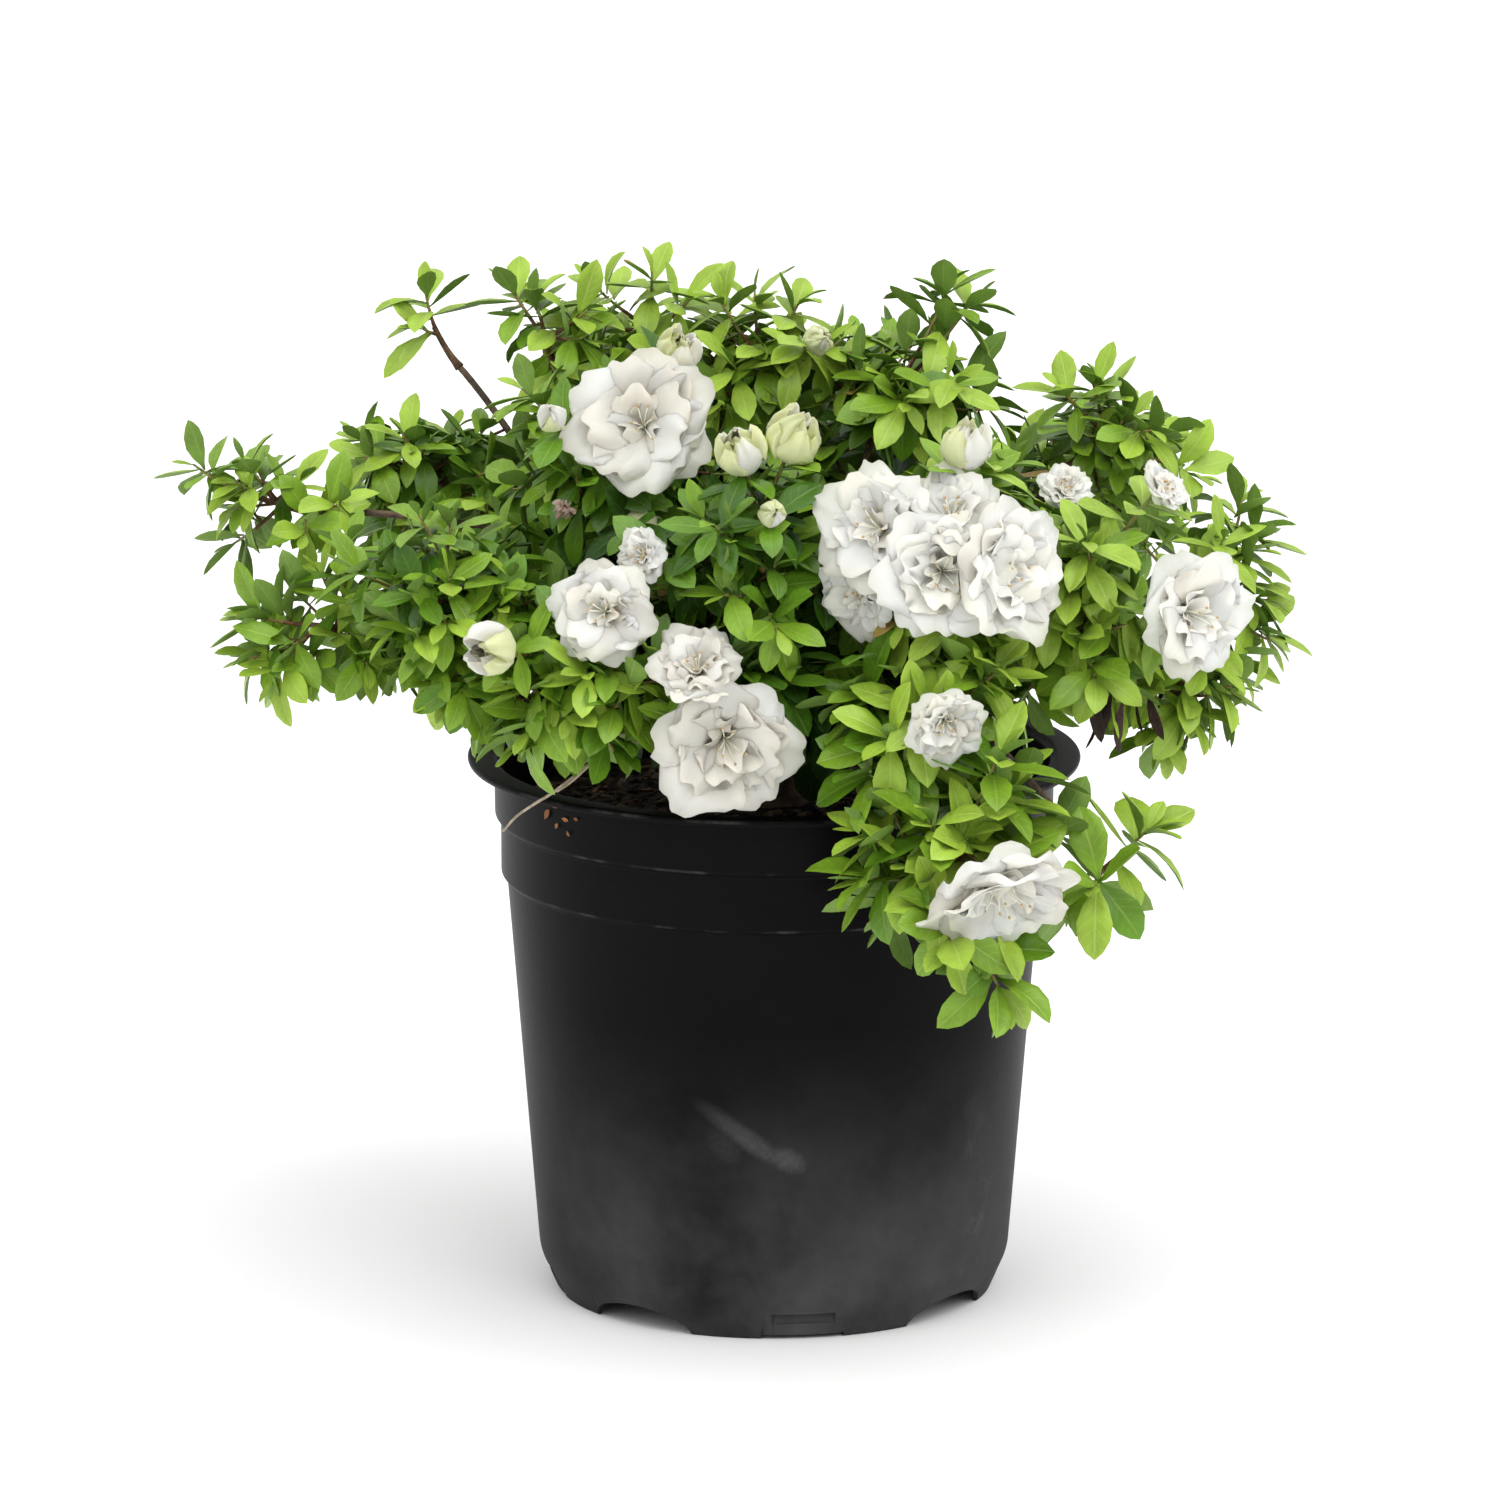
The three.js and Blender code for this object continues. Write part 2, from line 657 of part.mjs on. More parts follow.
/** The shoots of a mass: long tips, stalks of blossom, then a spiral that fills its space. */
function planShoots(mass, random, limbs) {
  const lift = mass.lift ?? TWIG.lift;
  const plans = [];
  for (const [heading, rise, out] of mass.tips) {
    const length = out - 0.5 * LEAF.length;
    plans.push({ direction: aim(heading, rise), length, share: TWIG.topShare, lift: 0 });
  }
  for (const [heading, rise, out, radius, faceHeading, faceRise] of mass.blooms) {
    const bloom = { radius, face: aim(faceHeading, faceRise) };
    const seat = mass.middle.clone().addScaledVector(aim(heading, rise), out);
    seat.addScaledVector(bloom.face, -BLOOM.seat * radius);
    const share = TWIG.topShare - TWIG.bloomStep * plans.length;
    const path = seat.sub(mass.stem.curve.getPoint(share));
    plans.push({ length: path.length(), direction: path.normalize(), share, lift: 0, bloom });
  }
  const taken = plans.map((plan) => plan.direction);
  const [side, top] = squareTo(mass.stem.end);
  const spin = 360 * random();
  for (let i = 0; i < mass.shoots; i++) {
    const open = 1 - ((i + 0.5) / mass.shoots) * TWIG.sweep;
    const turn = degToRad(spin + GOLDEN * i);
    const wide = Math.sqrt(1 - open * open);
    const direction = mass.stem.end.clone().multiplyScalar(open);
    direction.addScaledVector(side, wide * Math.cos(turn)).addScaledVector(top, wide * Math.sin(turn));
    const length = mass.spread * (TWIG.length + TWIG.longer * random());
    const share = TWIG.topShare - TWIG.step * (i / mass.shoots);
    if (taken.some((other) => other.dot(direction) > TWIG.apart)) continue;
    plans.push({ direction, length, share, lift });
  }
  const shoots = [];
  for (const plan of plans) {
    for (const shrink of TWIG.shrinks) {
      const shoot = shootFrom(mass, plan.share, plan.direction, plan.length * shrink, plan.lift);
      if (fits(mass, [shoot.points[1]], [shoot.points], limbs)) {
        shoots.push({ ...shoot, bloom: plan.bloom });
        break;
      }
    }
  }
  return shoots;
}

/** A leaf's five points: root, tip, two sides and the keel below them. */
function leafPoints(root, direction, normal, length) {
  const scale = length / LEAF.length;
  const side = new THREE.Vector3().crossVectors(direction, normal);
  const place = (share, across, up) => {
    const point = root.clone().addScaledVector(direction, share * length);
    return point.addScaledVector(side, across).addScaledVector(normal, up);
  };
  const width = 0.5 * LEAF.width * scale;
  const sides = [place(LEAF.wideAt, width, 0), place(LEAF.wideAt, -width, 0)];
  return [place(0, 0, 0), place(1, 0, 0), ...sides, place(LEAF.keelAt, 0, -LEAF.keel)];
}

const LEAF_FACES = [[0, 2, 3], [0, 3, 4], [0, 4, 2], [1, 3, 2], [1, 4, 3], [1, 2, 4]];
const LEAF_EDGES = [[0, 1], [0, 2], [0, 3], [2, 1], [3, 1]];

/** The segments of a leaf that stand clear of its root. */
function openEdges(points) {
  const [root, tip, left, right] = points;
  const neck = root.clone().lerp(tip, LEAF.neck);
  return [[neck, tip], [neck, left], [neck, right], [left, tip], [right, tip]];
}

/** Whether a leaf's open edges keep apart from those of the leaves before it. */
function apartFrom(others, edges) {
  return others.every((other) => {
    return edges.every(([a, b]) => other.every(([c, d]) => segmentDistance(a, b, c, d) > LEAF.apart));
  });
}

/** The leaves round a shoot's tip, or below its blossom, in a spiral that opens downwards. */
function leavesOn(mass, shoot, count, random, limbs, keepOut, others) {
  const finish = shoot.points.at(-1);
  const ahead = shoot.directions.at(-1);
  const [side, top] = squareTo(ahead);
  const [highTilt, lowTilt] = shoot.bloom ? LEAF.bloomTilt : LEAF.tilt;
  const bare = shoot.bloom ? 2 + 0.3 * shoot.bloom.radius : 1;
  const solids = [];
  const spin = 360 * random();
  for (let i = 0; i < count; i++) {
    const back = bare + LEAF.spacing * i;
    if (back > shoot.reach - 1) break;
    const root = finish.clone().addScaledVector(ahead, -back);
    const tilt = degToRad(highTilt + ((lowTilt - highTilt) * i) / (count - 1));
    for (let attempt = 0; attempt < LEAF.tries; attempt++) {
      const turn = degToRad(spin + GOLDEN * i + LEAF.tryTurn * attempt);
      const direction = ahead.clone().multiplyScalar(Math.cos(tilt));
      direction.addScaledVector(side, Math.sin(tilt) * Math.cos(turn));
      direction.addScaledVector(top, Math.sin(tilt) * Math.sin(turn));
      direction.addScaledVector(UP, -LEAF.droop).normalize();
      const normal = ahead.clone().multiplyScalar(LEAF.faceAhead).addScaledVector(UP, LEAF.faceUp);
      normal.addScaledVector(direction, -normal.dot(direction)).normalize();
      const drawn = LEAF.length * (LEAF.least + LEAF.longer * random());
      const points = leafPoints(root, direction, normal, attempt > 1 ? LEAF.late * drawn : drawn);
      const inBloom = (point) => keepOut.some((ball) => point.distanceTo(ball.middle) < ball.radius);
      if (points.slice(1).some(inBloom)) continue;
      const segments = LEAF_EDGES.map(([a, b]) => [points[a], points[b]]);
      const edges = openEdges(points);
      if (!apartFrom(others, edges) || !fits(mass, points.slice(1), segments, limbs)) continue;
      others.push(edges);
      solids.push(solidFrom(points, LEAF_FACES));
      break;
    }
  }
  return solids;
}

/** A bloom of five lobes: a throat, an inner ruffle, a valley and a notched rim, over a cone. */
function bloomSolid(middle, face, radius, closed, spin) {
  const [side, top] = squareTo(face);
  const rings = [
    // share of the radius, height as a share of it, points, notch
    [0, 0.02, 1, 0],
    [0.34, 0.34 + 0.3 * closed, BLOOM.lobes, 0],
    [0.56, 0.1 + 0.5 * closed, BLOOM.lobes, 0],
    [1 - 0.3 * closed, 0.18 + 0.9 * closed, 2 * BLOOM.lobes, BLOOM.notch],
    [0, -BLOOM.under, 1, 0],
  ];
  const points = [];
  for (const [share, height, count, notch] of rings) {
    for (let k = 0; k < count; k++) {
      const inward = count > BLOOM.lobes && k % 2 === 1;
      const turn = spin + (2 * Math.PI * k) / count;
      const reach = radius * share * (inward ? 1 - notch : 1);
      const point = middle.clone().addScaledVector(side, reach * Math.cos(turn));
      point.addScaledVector(top, reach * Math.sin(turn));
      points.push(point.addScaledVector(face, radius * (height - (inward ? 0.08 : 0))));
    }
  }
  const { lobes } = BLOOM;
  const under = points.length - 1;
  const faces = [];
  for (let k = 0; k < lobes; k++) {
    const next = (k + 1) % lobes;
    const [inner, innerNext] = [1 + k, 1 + next];
    const [low, lowNext] = [inner + lobes, innerNext + lobes];
    const rim = 1 + 2 * lobes + 2 * k;
    const rimNext = 1 + 2 * lobes + 2 * next;
    faces.push([0, inner, innerNext], [inner, low, lowNext], [inner, lowNext, innerNext]);
    faces.push([low, rim, rim + 1], [low, rim + 1, lowNext], [lowNext, rim + 1, rimNext]);
    faces.push([under, rim + 1, rim], [under, rimNext, rim + 1]);
  }
  return { points, solid: solidFrom(points, faces) };
}

/** The bloom at a shoot's tip, made smaller until it fits, and the ball that it fills. */
function bloomOn(mass, shoot, random, limbs) {
  const { face, radius: full } = shoot.bloom;
  const spin = 2 * Math.PI * random();
  for (const shrink of BLOOM.shrinks) {
    const radius = full * shrink;
    const middle = shoot.points.at(-1).clone().addScaledVector(face, BLOOM.seat * radius);
    const { points, solid } = bloomSolid(middle, face, radius, full < BLOOM.openRadius ? 1 : 0, spin);
    const rim = points.map((point) => [middle, point]);
    if (!fits(mass, points, rim, limbs)) continue;
    middle.addScaledVector(face, BLOOM.ballOut * radius);
    return { solid, middle, radius: BLOOM.ball * radius };
  }
  return null;
}

/** A mass: its stem, shoots, leaves and blossom, fused into one closed body. */
function makeMass(mass, index, limbs) {
  const shoots = planShoots(mass, seeded(SEED + index), limbs);
  const random = seeded(SEED + 1000 + index);
  const pieces = [tube(mass.stem)];
  const keepOut = [];
  for (const shoot of shoots) {
    pieces.push(tube(shoot));
    const bloom = shoot.bloom ? bloomOn(mass, shoot, random, limbs) : null;
    if (bloom) {
      pieces.push(bloom.solid);
      keepOut.push(bloom);
    }
  }
  const others = [];
  for (const shoot of shoots) {
    const count = shoot.bloom ? LEAF.perBloom : LEAF.perShoot;
    pieces.push(...leavesOn(mass, shoot, count, random, limbs, keepOut, others));
  }
  return largest(wasm.Manifold.union(pieces).simplify(DETAIL));
}

// Assembly
const group = new THREE.Group();

/** Adds a solid to the shrub as a named mesh with a finish of its own. */
function add(name, solid, finish) {
  const mesh = new THREE.Mesh(geometryOf(solid), new THREE.MeshStandardMaterial(finish));
  mesh.name = name;
  group.add(mesh);
}

for (const mass of MASSES) {
  const [heading, reach, height] = mass.at;
  mass.middle = aim(heading, 0).multiplyScalar(reach).setZ(height);
  mass.tips ??= [];
  mass.blooms ??= [];
  mass.arms = [...mass.tips, ...mass.blooms].map(([turn, rise, out, radius = ARM.radius]) => {
    const end = mass.middle.clone().addScaledVector(aim(turn, rise), out);
    return { axis: new THREE.Line3(mass.middle, end), room: radius + ARM.room };
  });
}

const trunk = trunkLimb();
const limbs = [trunk];
for (const [feeds, from, share, arch] of BOUGHS) {
  const mass = MASSES.find(({ name }) => name === feeds);
  const parent = limbs.find(({ name }) => name === from || name === `bough_${from}`);
  mass.bough = boughLimb(mass, parent, share, arch);
  limbs.push(mass.bough);
}
for (const mass of MASSES) {
  mass.stem = stemLimb(mass, mass.bough);
  limbs.push(mass.stem);
}

add("pot", makePot(), COLOURS.pot);
add("potting_mix", makeSoil(), COLOURS.soil);
add("trunk", tube(trunk), COLOURS.bark);
for (const mass of MASSES) add(mass.bough.name, makeBough(mass.bough), COLOURS.bark);
MASSES.forEach((mass, index) => add(`foliage_${mass.name}`, makeMass(mass, index, limbs), COLOURS.leaf));

export default group;
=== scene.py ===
"""A potted azalea with ruffled white blossom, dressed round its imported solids.

The shrub grows again here by its solids' rule: a trunk, boughs, one stem for each mass of foliage
and its straight shoots. Finer side shoots, leaves and petals then carry it further than the solids
do. Lengths are in millimetres until a mesh is made, which is in metres like the frame. Headings are
in degrees from the front towards +X, and rises in degrees above the level.
"""
from __future__ import annotations

import logging
import math
from dataclasses import dataclass, field
from enum import IntEnum
from functools import lru_cache
from typing import ClassVar, Iterable, Sequence

import bpy
import numpy as np
from bpy.types import Material, Node, NodeSocket, NodeTree, Object
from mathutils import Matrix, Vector, noise


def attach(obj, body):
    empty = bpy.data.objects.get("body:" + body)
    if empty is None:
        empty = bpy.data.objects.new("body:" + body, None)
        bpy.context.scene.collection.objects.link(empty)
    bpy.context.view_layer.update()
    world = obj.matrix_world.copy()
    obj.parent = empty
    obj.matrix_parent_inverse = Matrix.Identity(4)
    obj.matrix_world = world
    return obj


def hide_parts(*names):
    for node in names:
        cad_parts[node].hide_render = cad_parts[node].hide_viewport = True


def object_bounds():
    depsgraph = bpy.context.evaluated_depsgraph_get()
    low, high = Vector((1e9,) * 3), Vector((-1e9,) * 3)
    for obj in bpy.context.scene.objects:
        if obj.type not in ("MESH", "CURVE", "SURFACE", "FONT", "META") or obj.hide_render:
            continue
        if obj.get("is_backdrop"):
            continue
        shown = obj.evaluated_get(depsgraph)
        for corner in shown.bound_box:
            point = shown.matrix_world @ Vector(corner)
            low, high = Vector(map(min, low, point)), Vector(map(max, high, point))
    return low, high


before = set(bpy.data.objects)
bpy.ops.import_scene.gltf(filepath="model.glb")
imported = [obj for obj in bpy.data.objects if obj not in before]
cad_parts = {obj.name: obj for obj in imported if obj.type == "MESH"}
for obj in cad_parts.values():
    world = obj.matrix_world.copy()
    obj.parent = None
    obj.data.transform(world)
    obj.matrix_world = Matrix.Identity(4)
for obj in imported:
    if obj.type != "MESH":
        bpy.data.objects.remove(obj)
CAD_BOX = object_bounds()

log = logging.getLogger("azalea")

MM = 0.001
SEED = 4067
GOLDEN = 137.508
UP = Vector((0, 0, 1))
TINY = 1e-4
Loops = Sequence[Sequence[int]]


class Draws:
    """Seeded random numbers from 0 to 1, the same on every run."""

    WORD = 0xFFFFFFFF
    STEP = 0x6D2B79F5

    def __init__(self, seed: int) -> None:
        """Starts the numbers that a seed picks."""
        self.state = seed & self.WORD

    def __call__(self) -> float:
        """The next number."""
        self.state = (self.state + self.STEP) & self.WORD
        mixed = self.state
        mixed = ((mixed ^ (mixed >> 15)) * (mixed | 1)) & self.WORD
        mixed ^= (mixed + (mixed ^ (mixed >> 7)) * (mixed | 61)) & self.WORD
        return (mixed ^ (mixed >> 14)) / 2**32

    def between(self, low: float, high: float) -> float:
        """The next number, between two others."""
        return low + (high - low) * self()

    def about(self, spread: float) -> float:
        """The next number, between minus and plus a spread."""
        return spread * (2 * self() - 1)


def aim(heading: float, rise: float) -> Vector:
    """The unit direction of a heading and a rise."""
    turn, climb = math.radians(heading), math.radians(rise)
    flat = math.cos(climb)
    return Vector((flat * math.sin(turn), -flat * math.cos(turn), math.sin(climb)))


def square_to(direction: Vector) -> tuple[Vector, Vector]:
    """Two unit vectors square to a direction, the first of them level."""
    side = direction.cross(UP)
    if side.length_squared < TINY:
        side = Vector((1, 0, 0))
    side.normalize()
    return side, direction.cross(side).normalized()


def leaning(ahead: Vector, tilt: float, turn: float) -> Vector:
    """A direction that leans away from another.

    Args:
        ahead: the direction that it leans from.
        tilt: the angle between the two, in degrees.
        turn: where about the first it leans, in degrees.

    Returns:
        The leaning direction.
    """
    side, top = square_to(ahead)
    tilt, turn = math.radians(tilt), math.radians(turn)
    across = side * math.cos(turn) + top * math.sin(turn)
    return ahead * math.cos(tilt) + across * math.sin(tilt)


def eased(value: float, low: float, high: float) -> float:
    """A smooth step from 0 at one value to 1 at another."""
    share = min(1.0, max(0.0, (value - low) / (high - low)))
    return share * share * (3 - 2 * share)


@dataclass(frozen=True)
class Pattern:
    """The faces of a small mesh that is made many times.

    Attributes:
        parts: which part of the mesh each face belongs to.
        spots: each vertex's place on the surface, across and along, from 0 to 1.
    """

    corners: np.ndarray
    sizes: np.ndarray
    parts: np.ndarray
    spots: np.ndarray

    @classmethod
    def of(cls, faces: Loops, parts: Sequence[int], spots: Sequence[Sequence[float]]) -> Pattern:
        """Gathers faces, the part of each, and each vertex's place on the surface."""
        corners = np.array([corner for face in faces for corner in face], dtype=np.int32)
        sizes = np.array([len(face) for face in faces], dtype=np.int32)
        return cls(corners, sizes, np.array(parts, dtype=np.int32), np.array(spots, dtype=np.float32))


@lru_cache(maxsize=None)
def tube_pattern(rings: int, sides: int) -> Pattern:
    """The faces of a closed tube of some rings of vertices, each with some sides."""
    faces = []
    for ring in range(rings - 1):
        for k in range(sides):
            a, b = ring * sides + k, ring * sides + (k + 1) % sides
            faces.append((a, b, b + sides, a + sides))
    last = (rings - 1) * sides
    faces += [tuple(range(sides - 1, -1, -1)), tuple(last + k for k in range(sides))]
    spots = [(k / sides, ring / (rings - 1)) for ring in range(rings) for k in range(sides)]
    return Pattern.of(faces, [0] * len(faces), spots)


def tube_points(path: np.ndarray, radii: np.ndarray, sides: int) -> np.ndarray:
    """The vertices of a tube.

    Args:
        path: points along its middle.
        radii: its radius at each point, or at each vertex of each ring.
        sides: vertices in each ring.

    Returns:
        The vertices, ring after ring.
    """
    ways = np.gradient(path, axis=0)
    ways /= np.linalg.norm(ways, axis=1)[:, None]
    side = np.array(square_to(Vector(ways[0]))[0])
    turns = np.linspace(0, 2 * np.pi, sides, endpoint=False)
    radii = np.broadcast_to(np.asarray(radii).reshape(len(path), -1), (len(path), sides))
    rings = []
    for middle, way, radius in zip(path, ways, radii):
        side = side - way * side.dot(way)
        side /= np.linalg.norm(side)
        other = np.cross(way, side)
        out = np.cos(turns)[:, None] * side + np.sin(turns)[:, None] * other
        rings.append(middle + out * radius[:, None])
    return np.concatenate(rings)


class Pile:
    """Many small meshes gathered into one piece."""

    def __init__(self, name: str) -> None:
        """Starts an empty piece of this name."""
        self.name = name
        self.points: list[np.ndarray] = []
        self.patterns: list[Pattern] = []
        self.tones: list[np.ndarray] = []

    def add(self, points: np.ndarray, pattern: Pattern, tones: Sequence[int] = (0,)) -> None:
        """Adds one mesh.

        Args:
            points: its vertices, in millimetres.
            pattern: its faces.
            tones: the material's number for each part of the pattern.
        """
        self.points.append(points)
        self.patterns.append(pattern)
        self.tones.append(np.array(tones, dtype=np.int32)[pattern.parts])

    def build(
        self, materials: Sequence[Material], nodes: Iterable[str], slot: str, crease: float = 100
    ) -> Object:
        """Makes the piece, standing in for nodes of the frame.

        Args:
            materials: the finishes that the tones number.
            nodes: the frame's nodes that it replaces.
            slot: the record's material slot; not used.
            crease: the angle in degrees from which an edge is sharp.

        Returns:
            The piece.
        """
        starts = np.cumsum([0] + [len(points) for points in self.points[:-1]])
        corners = np.concatenate([p.corners + start for p, start in zip(self.patterns, starts)])
        sizes = np.concatenate([pattern.sizes for pattern in self.patterns])
        spots = np.concatenate([pattern.spots for pattern in self.patterns])
        points = np.concatenate(self.points).astype(np.float32) * MM
        mesh = bpy.data.meshes.new(self.name)
        mesh.vertices.add(len(points))
        mesh.vertices.foreach_set("co", points.ravel())
        mesh.loops.add(len(corners))
        mesh.loops.foreach_set("vertex_index", corners)
        mesh.polygons.add(len(sizes))
        first_loops = np.concatenate([[0], np.cumsum(sizes)[:-1]]).astype(np.int32)
        mesh.polygons.foreach_set("loop_start", first_loops)
        for material in materials:
            mesh.materials.append(material)
        mesh.polygons.foreach_set("material_index", np.concatenate(self.tones))
        mesh.uv_layers.new(name="UVMap").data.foreach_set("uv", spots[corners].ravel())
        mesh.update(calc_edges=True)
        mesh.shade_smooth()
        mesh.set_sharp_from_angle(angle=math.radians(crease))
        piece = bpy.data.objects.new(self.name, mesh)
        bpy.context.scene.collection.objects.link(piece)
        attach(piece, "root")
        nodes = sorted(nodes)
        if nodes:
            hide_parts(*nodes)
        log.info("%s: %d triangles for %d nodes", self.name, int((sizes - 2).sum()), len(nodes))
        return piece


# Materials

class Nodes:
    """Short calls for building a node tree."""

    def __init__(self, tree: NodeTree) -> None:
        """Empties a node tree for building."""
        self.tree = tree
        tree.nodes.clear()

    def add(self, kind: str, inputs: dict | None = None, **settings: object) -> Node:
        """Adds a node.

        Args:
            kind: the node's type, without its ShaderNode prefix.
            inputs: a value or another node's socket for each input, by name or number.
            **settings: the node's own settings.

        Returns:
            The node.
        """
        node = self.tree.nodes.new(kind if kind.startswith("NodeGroup") else f"ShaderNode{kind}")
        for name, value in settings.items():
            setattr(node, name, value)
        for key, value in (inputs or {}).items():
            self._feed(node.inputs[key], value)
        return node

    def _feed(self, socket: NodeSocket, value: object) -> None:
        """Gives a socket a value, or links another node's socket to it."""
        if isinstance(value, NodeSocket):
            self.tree.links.new(value, socket)
        else:
            socket.default_value = value

    def maths(self, operation: str, *values: object) -> NodeSocket:
        """The result of a Math node."""
        return self.add("Math", dict(enumerate(values)), operation=operation).outputs[0]

    def ramp(
        self, value: NodeSocket, low: object, high: object, start: float = 0, end: float = 1
    ) -> NodeSocket:
        """A value eased from start at low to end at high."""
        sockets = {"Value": value, "From Min": low, "From Max": high, "To Min": start, "To Max": end}
        return self.add("MapRange", sockets, interpolation_type="SMOOTHSTEP").outputs["Result"]

    def mix(self, share: object, first: object, second: object) -> NodeSocket:
        """A colour between two."""
        node = self.add("Mix", data_type="RGBA", clamp_factor=True)
        for key, value in (("Factor_Float", share), ("A_Color", first), ("B_Color", second)):
            self._feed(next(s for s in node.inputs if s.identifier == key), value)
        return next(s for s in node.outputs if s.identifier == "Result_Color")

    def effect(self, tree: NodeTree, **inputs: float) -> NodeSocket:
        """The mask of a shared effect, placed with values of its own."""
        node = self.add("Group", node_tree=tree)
        for key, value in inputs.items():
            self._feed(node.inputs[key.capitalize()], value)
        return node.outputs["Mask"]

    def relief(self, height: NodeSocket, strength: float, depth: float) -> NodeSocket:
        """A normal from a height, its depth in millimetres."""
        node = self.add("Bump", {"Strength": strength, "Distance": depth * MM, "Height": height})
        return node.outputs["Normal"]


class Effects:
    """The shader node groups that the finishes share, each built once."""

    def __init__(self) -> None:
        """Builds every group."""
        self.mottle = self._mottle()
        self.veins = self._veins()
        self.dust = self._dust()

    @staticmethod
    def _start(name: str, inputs: dict[str, float]) -> tuple[Nodes, Node, Node]:
        """Opens a group with these inputs, and gives its builder, input node and output node."""
        tree = bpy.data.node_groups.new(name, "ShaderNodeTree")
        for key, value in inputs.items():
            socket = tree.interface.new_socket(name=key, in_out="INPUT", socket_type="NodeSocketFloat")
            socket.default_value = value
        tree.interface.new_socket(name="Mask", in_out="OUTPUT", socket_type="NodeSocketFloat")
        nodes = Nodes(tree)
        return nodes, nodes.add("NodeGroupInput"), nodes.add("NodeGroupOutput")

    def _mottle(self) -> NodeTree:
        """Soft patches: a noise in the piece's own space, cut between two levels."""
        nodes, given, result = self._start("mottle", {"Scale": 40, "Detail": 4, "Low": 0.35, "High": 0.65})
        place = nodes.add("TexCoord").outputs["Object"]
        scale, detail = given.outputs["Scale"], given.outputs["Detail"]
        cloud = nodes.add("TexNoise", {"Vector": place, "Scale": scale, "Detail": detail})
        mask = nodes.ramp(cloud.outputs["Fac"], given.outputs["Low"], given.outputs["High"])
        nodes.tree.links.new(mask, result.inputs["Mask"])
        return nodes.tree

    def _veins(self) -> NodeTree:
        """A middle rib and side veins, from the place on a leaf or petal."""
        nodes, given, result = self._start("veins", {"Count": 7, "Slant": 1.4, "Rib": 0.1, "Side": 0.5})
        place = nodes.add("SeparateXYZ", {"Vector": nodes.add("UVMap", uv_map="UVMap").outputs["UV"]})
        across = nodes.maths("ABSOLUTE", nodes.maths("MULTIPLY_ADD", place.outputs["X"], 2.0, -1.0))
        rib = nodes.ramp(across, 0.0, given.outputs["Rib"], 1, 0)
        slanted = nodes.maths("MULTIPLY", across, given.outputs["Slant"])
        along = nodes.maths("MULTIPLY", place.outputs["Y"], given.outputs["Count"])
        wave = nodes.maths("PINGPONG", nodes.maths("SUBTRACT", along, slanted), 0.5)
        side = nodes.maths("MULTIPLY", nodes.ramp(wave, 0.0, 0.14, 1, 0), given.outputs["Side"])
        nodes.tree.links.new(nodes.maths("MAXIMUM", rib, side), result.inputs["Mask"])
        return nodes.tree

    def _dust(self) -> NodeTree:
        """Dust that thickens downwards and lies in streaks and clouds."""
        nodes, given, result = self._start("dust", {"Foot": 0.0, "Top": 0.25, "Least": 0.1, "Scale": 14})
        place = nodes.add("TexCoord").outputs["Object"]
        height = nodes.add("SeparateXYZ", {"Vector": place}).outputs["Z"]
        low = nodes.ramp(height, given.outputs["Foot"], given.outputs["Top"], 1, 0)
        grain = {"Vector": place, "Scale": given.outputs["Scale"], "Detail": 6.0, "Roughness": 0.62}
        cloud = nodes.add("TexNoise", grain)
        patches = nodes.ramp(cloud.outputs["Fac"], 0.2, 0.78)
        amount = nodes.maths("MAXIMUM", low, given.outputs["Least"])
        nodes.tree.links.new(nodes.maths("MULTIPLY", amount, patches), result.inputs["Mask"])
        return nodes.tree


Colour = tuple[float, float, float]


def opaque(colour: Colour) -> tuple[float, float, float, float]:
    """A colour with its alpha."""
    return (*colour, 1.0)


def blank(name: str) -> tuple[Material, Nodes]:
    """An empty material and the builder of its nodes."""
    material = bpy.data.materials.new(name)
    material.use_nodes = True
    return material, Nodes(material.node_tree)


def surface(nodes: Nodes, inputs: dict) -> None:
    """Ends a material's nodes in one shader, which takes these inputs."""
    shader = nodes.add("BsdfPrincipled", inputs)
    nodes.add("OutputMaterial", {"Surface": shader.outputs["BSDF"]})


@dataclass(frozen=True)
class LeafFinish:
    """A leaf's skin: a plain green with a paler rib and veins.

    Attributes:
        ribbed: how much the veins show.
        shade: how dark its patches are, as a share of the colour.
    """

    name: str
    colour: Colour
    vein: Colour
    rough: float
    ribbed: float = 0.5
    gloss: float = 0.34
    shade: float = 0.74
    uneven: tuple[float, float] = (0.07, 0.05)

    def material(self, effects: Effects) -> Material:
        """Builds the finish from the shared effects."""
        material, nodes = blank(self.name)
        veins = nodes.effect(effects.veins, count=7, slant=1.5, rib=0.11, side=0.35)
        patches = nodes.effect(effects.mottle, scale=70, detail=3, low=0.3, high=0.7)
        dark = tuple(self.shade * channel for channel in self.colour)
        skin = nodes.mix(patches, opaque(dark), opaque(self.colour))
        colour = nodes.mix(nodes.maths("MULTIPLY", veins, self.ribbed), skin, opaque(self.vein))
        rougher, smoother = self.uneven
        inputs = {
            "Base Color": colour,
            "Roughness": nodes.ramp(patches, 0, 1, self.rough + rougher, self.rough - smoother),
            "Specular IOR Level": self.gloss,
            "Normal": nodes.relief(nodes.maths("SUBTRACT", 1.0, veins), 0.5, 0.25),
        }
        surface(nodes, inputs)
        return material


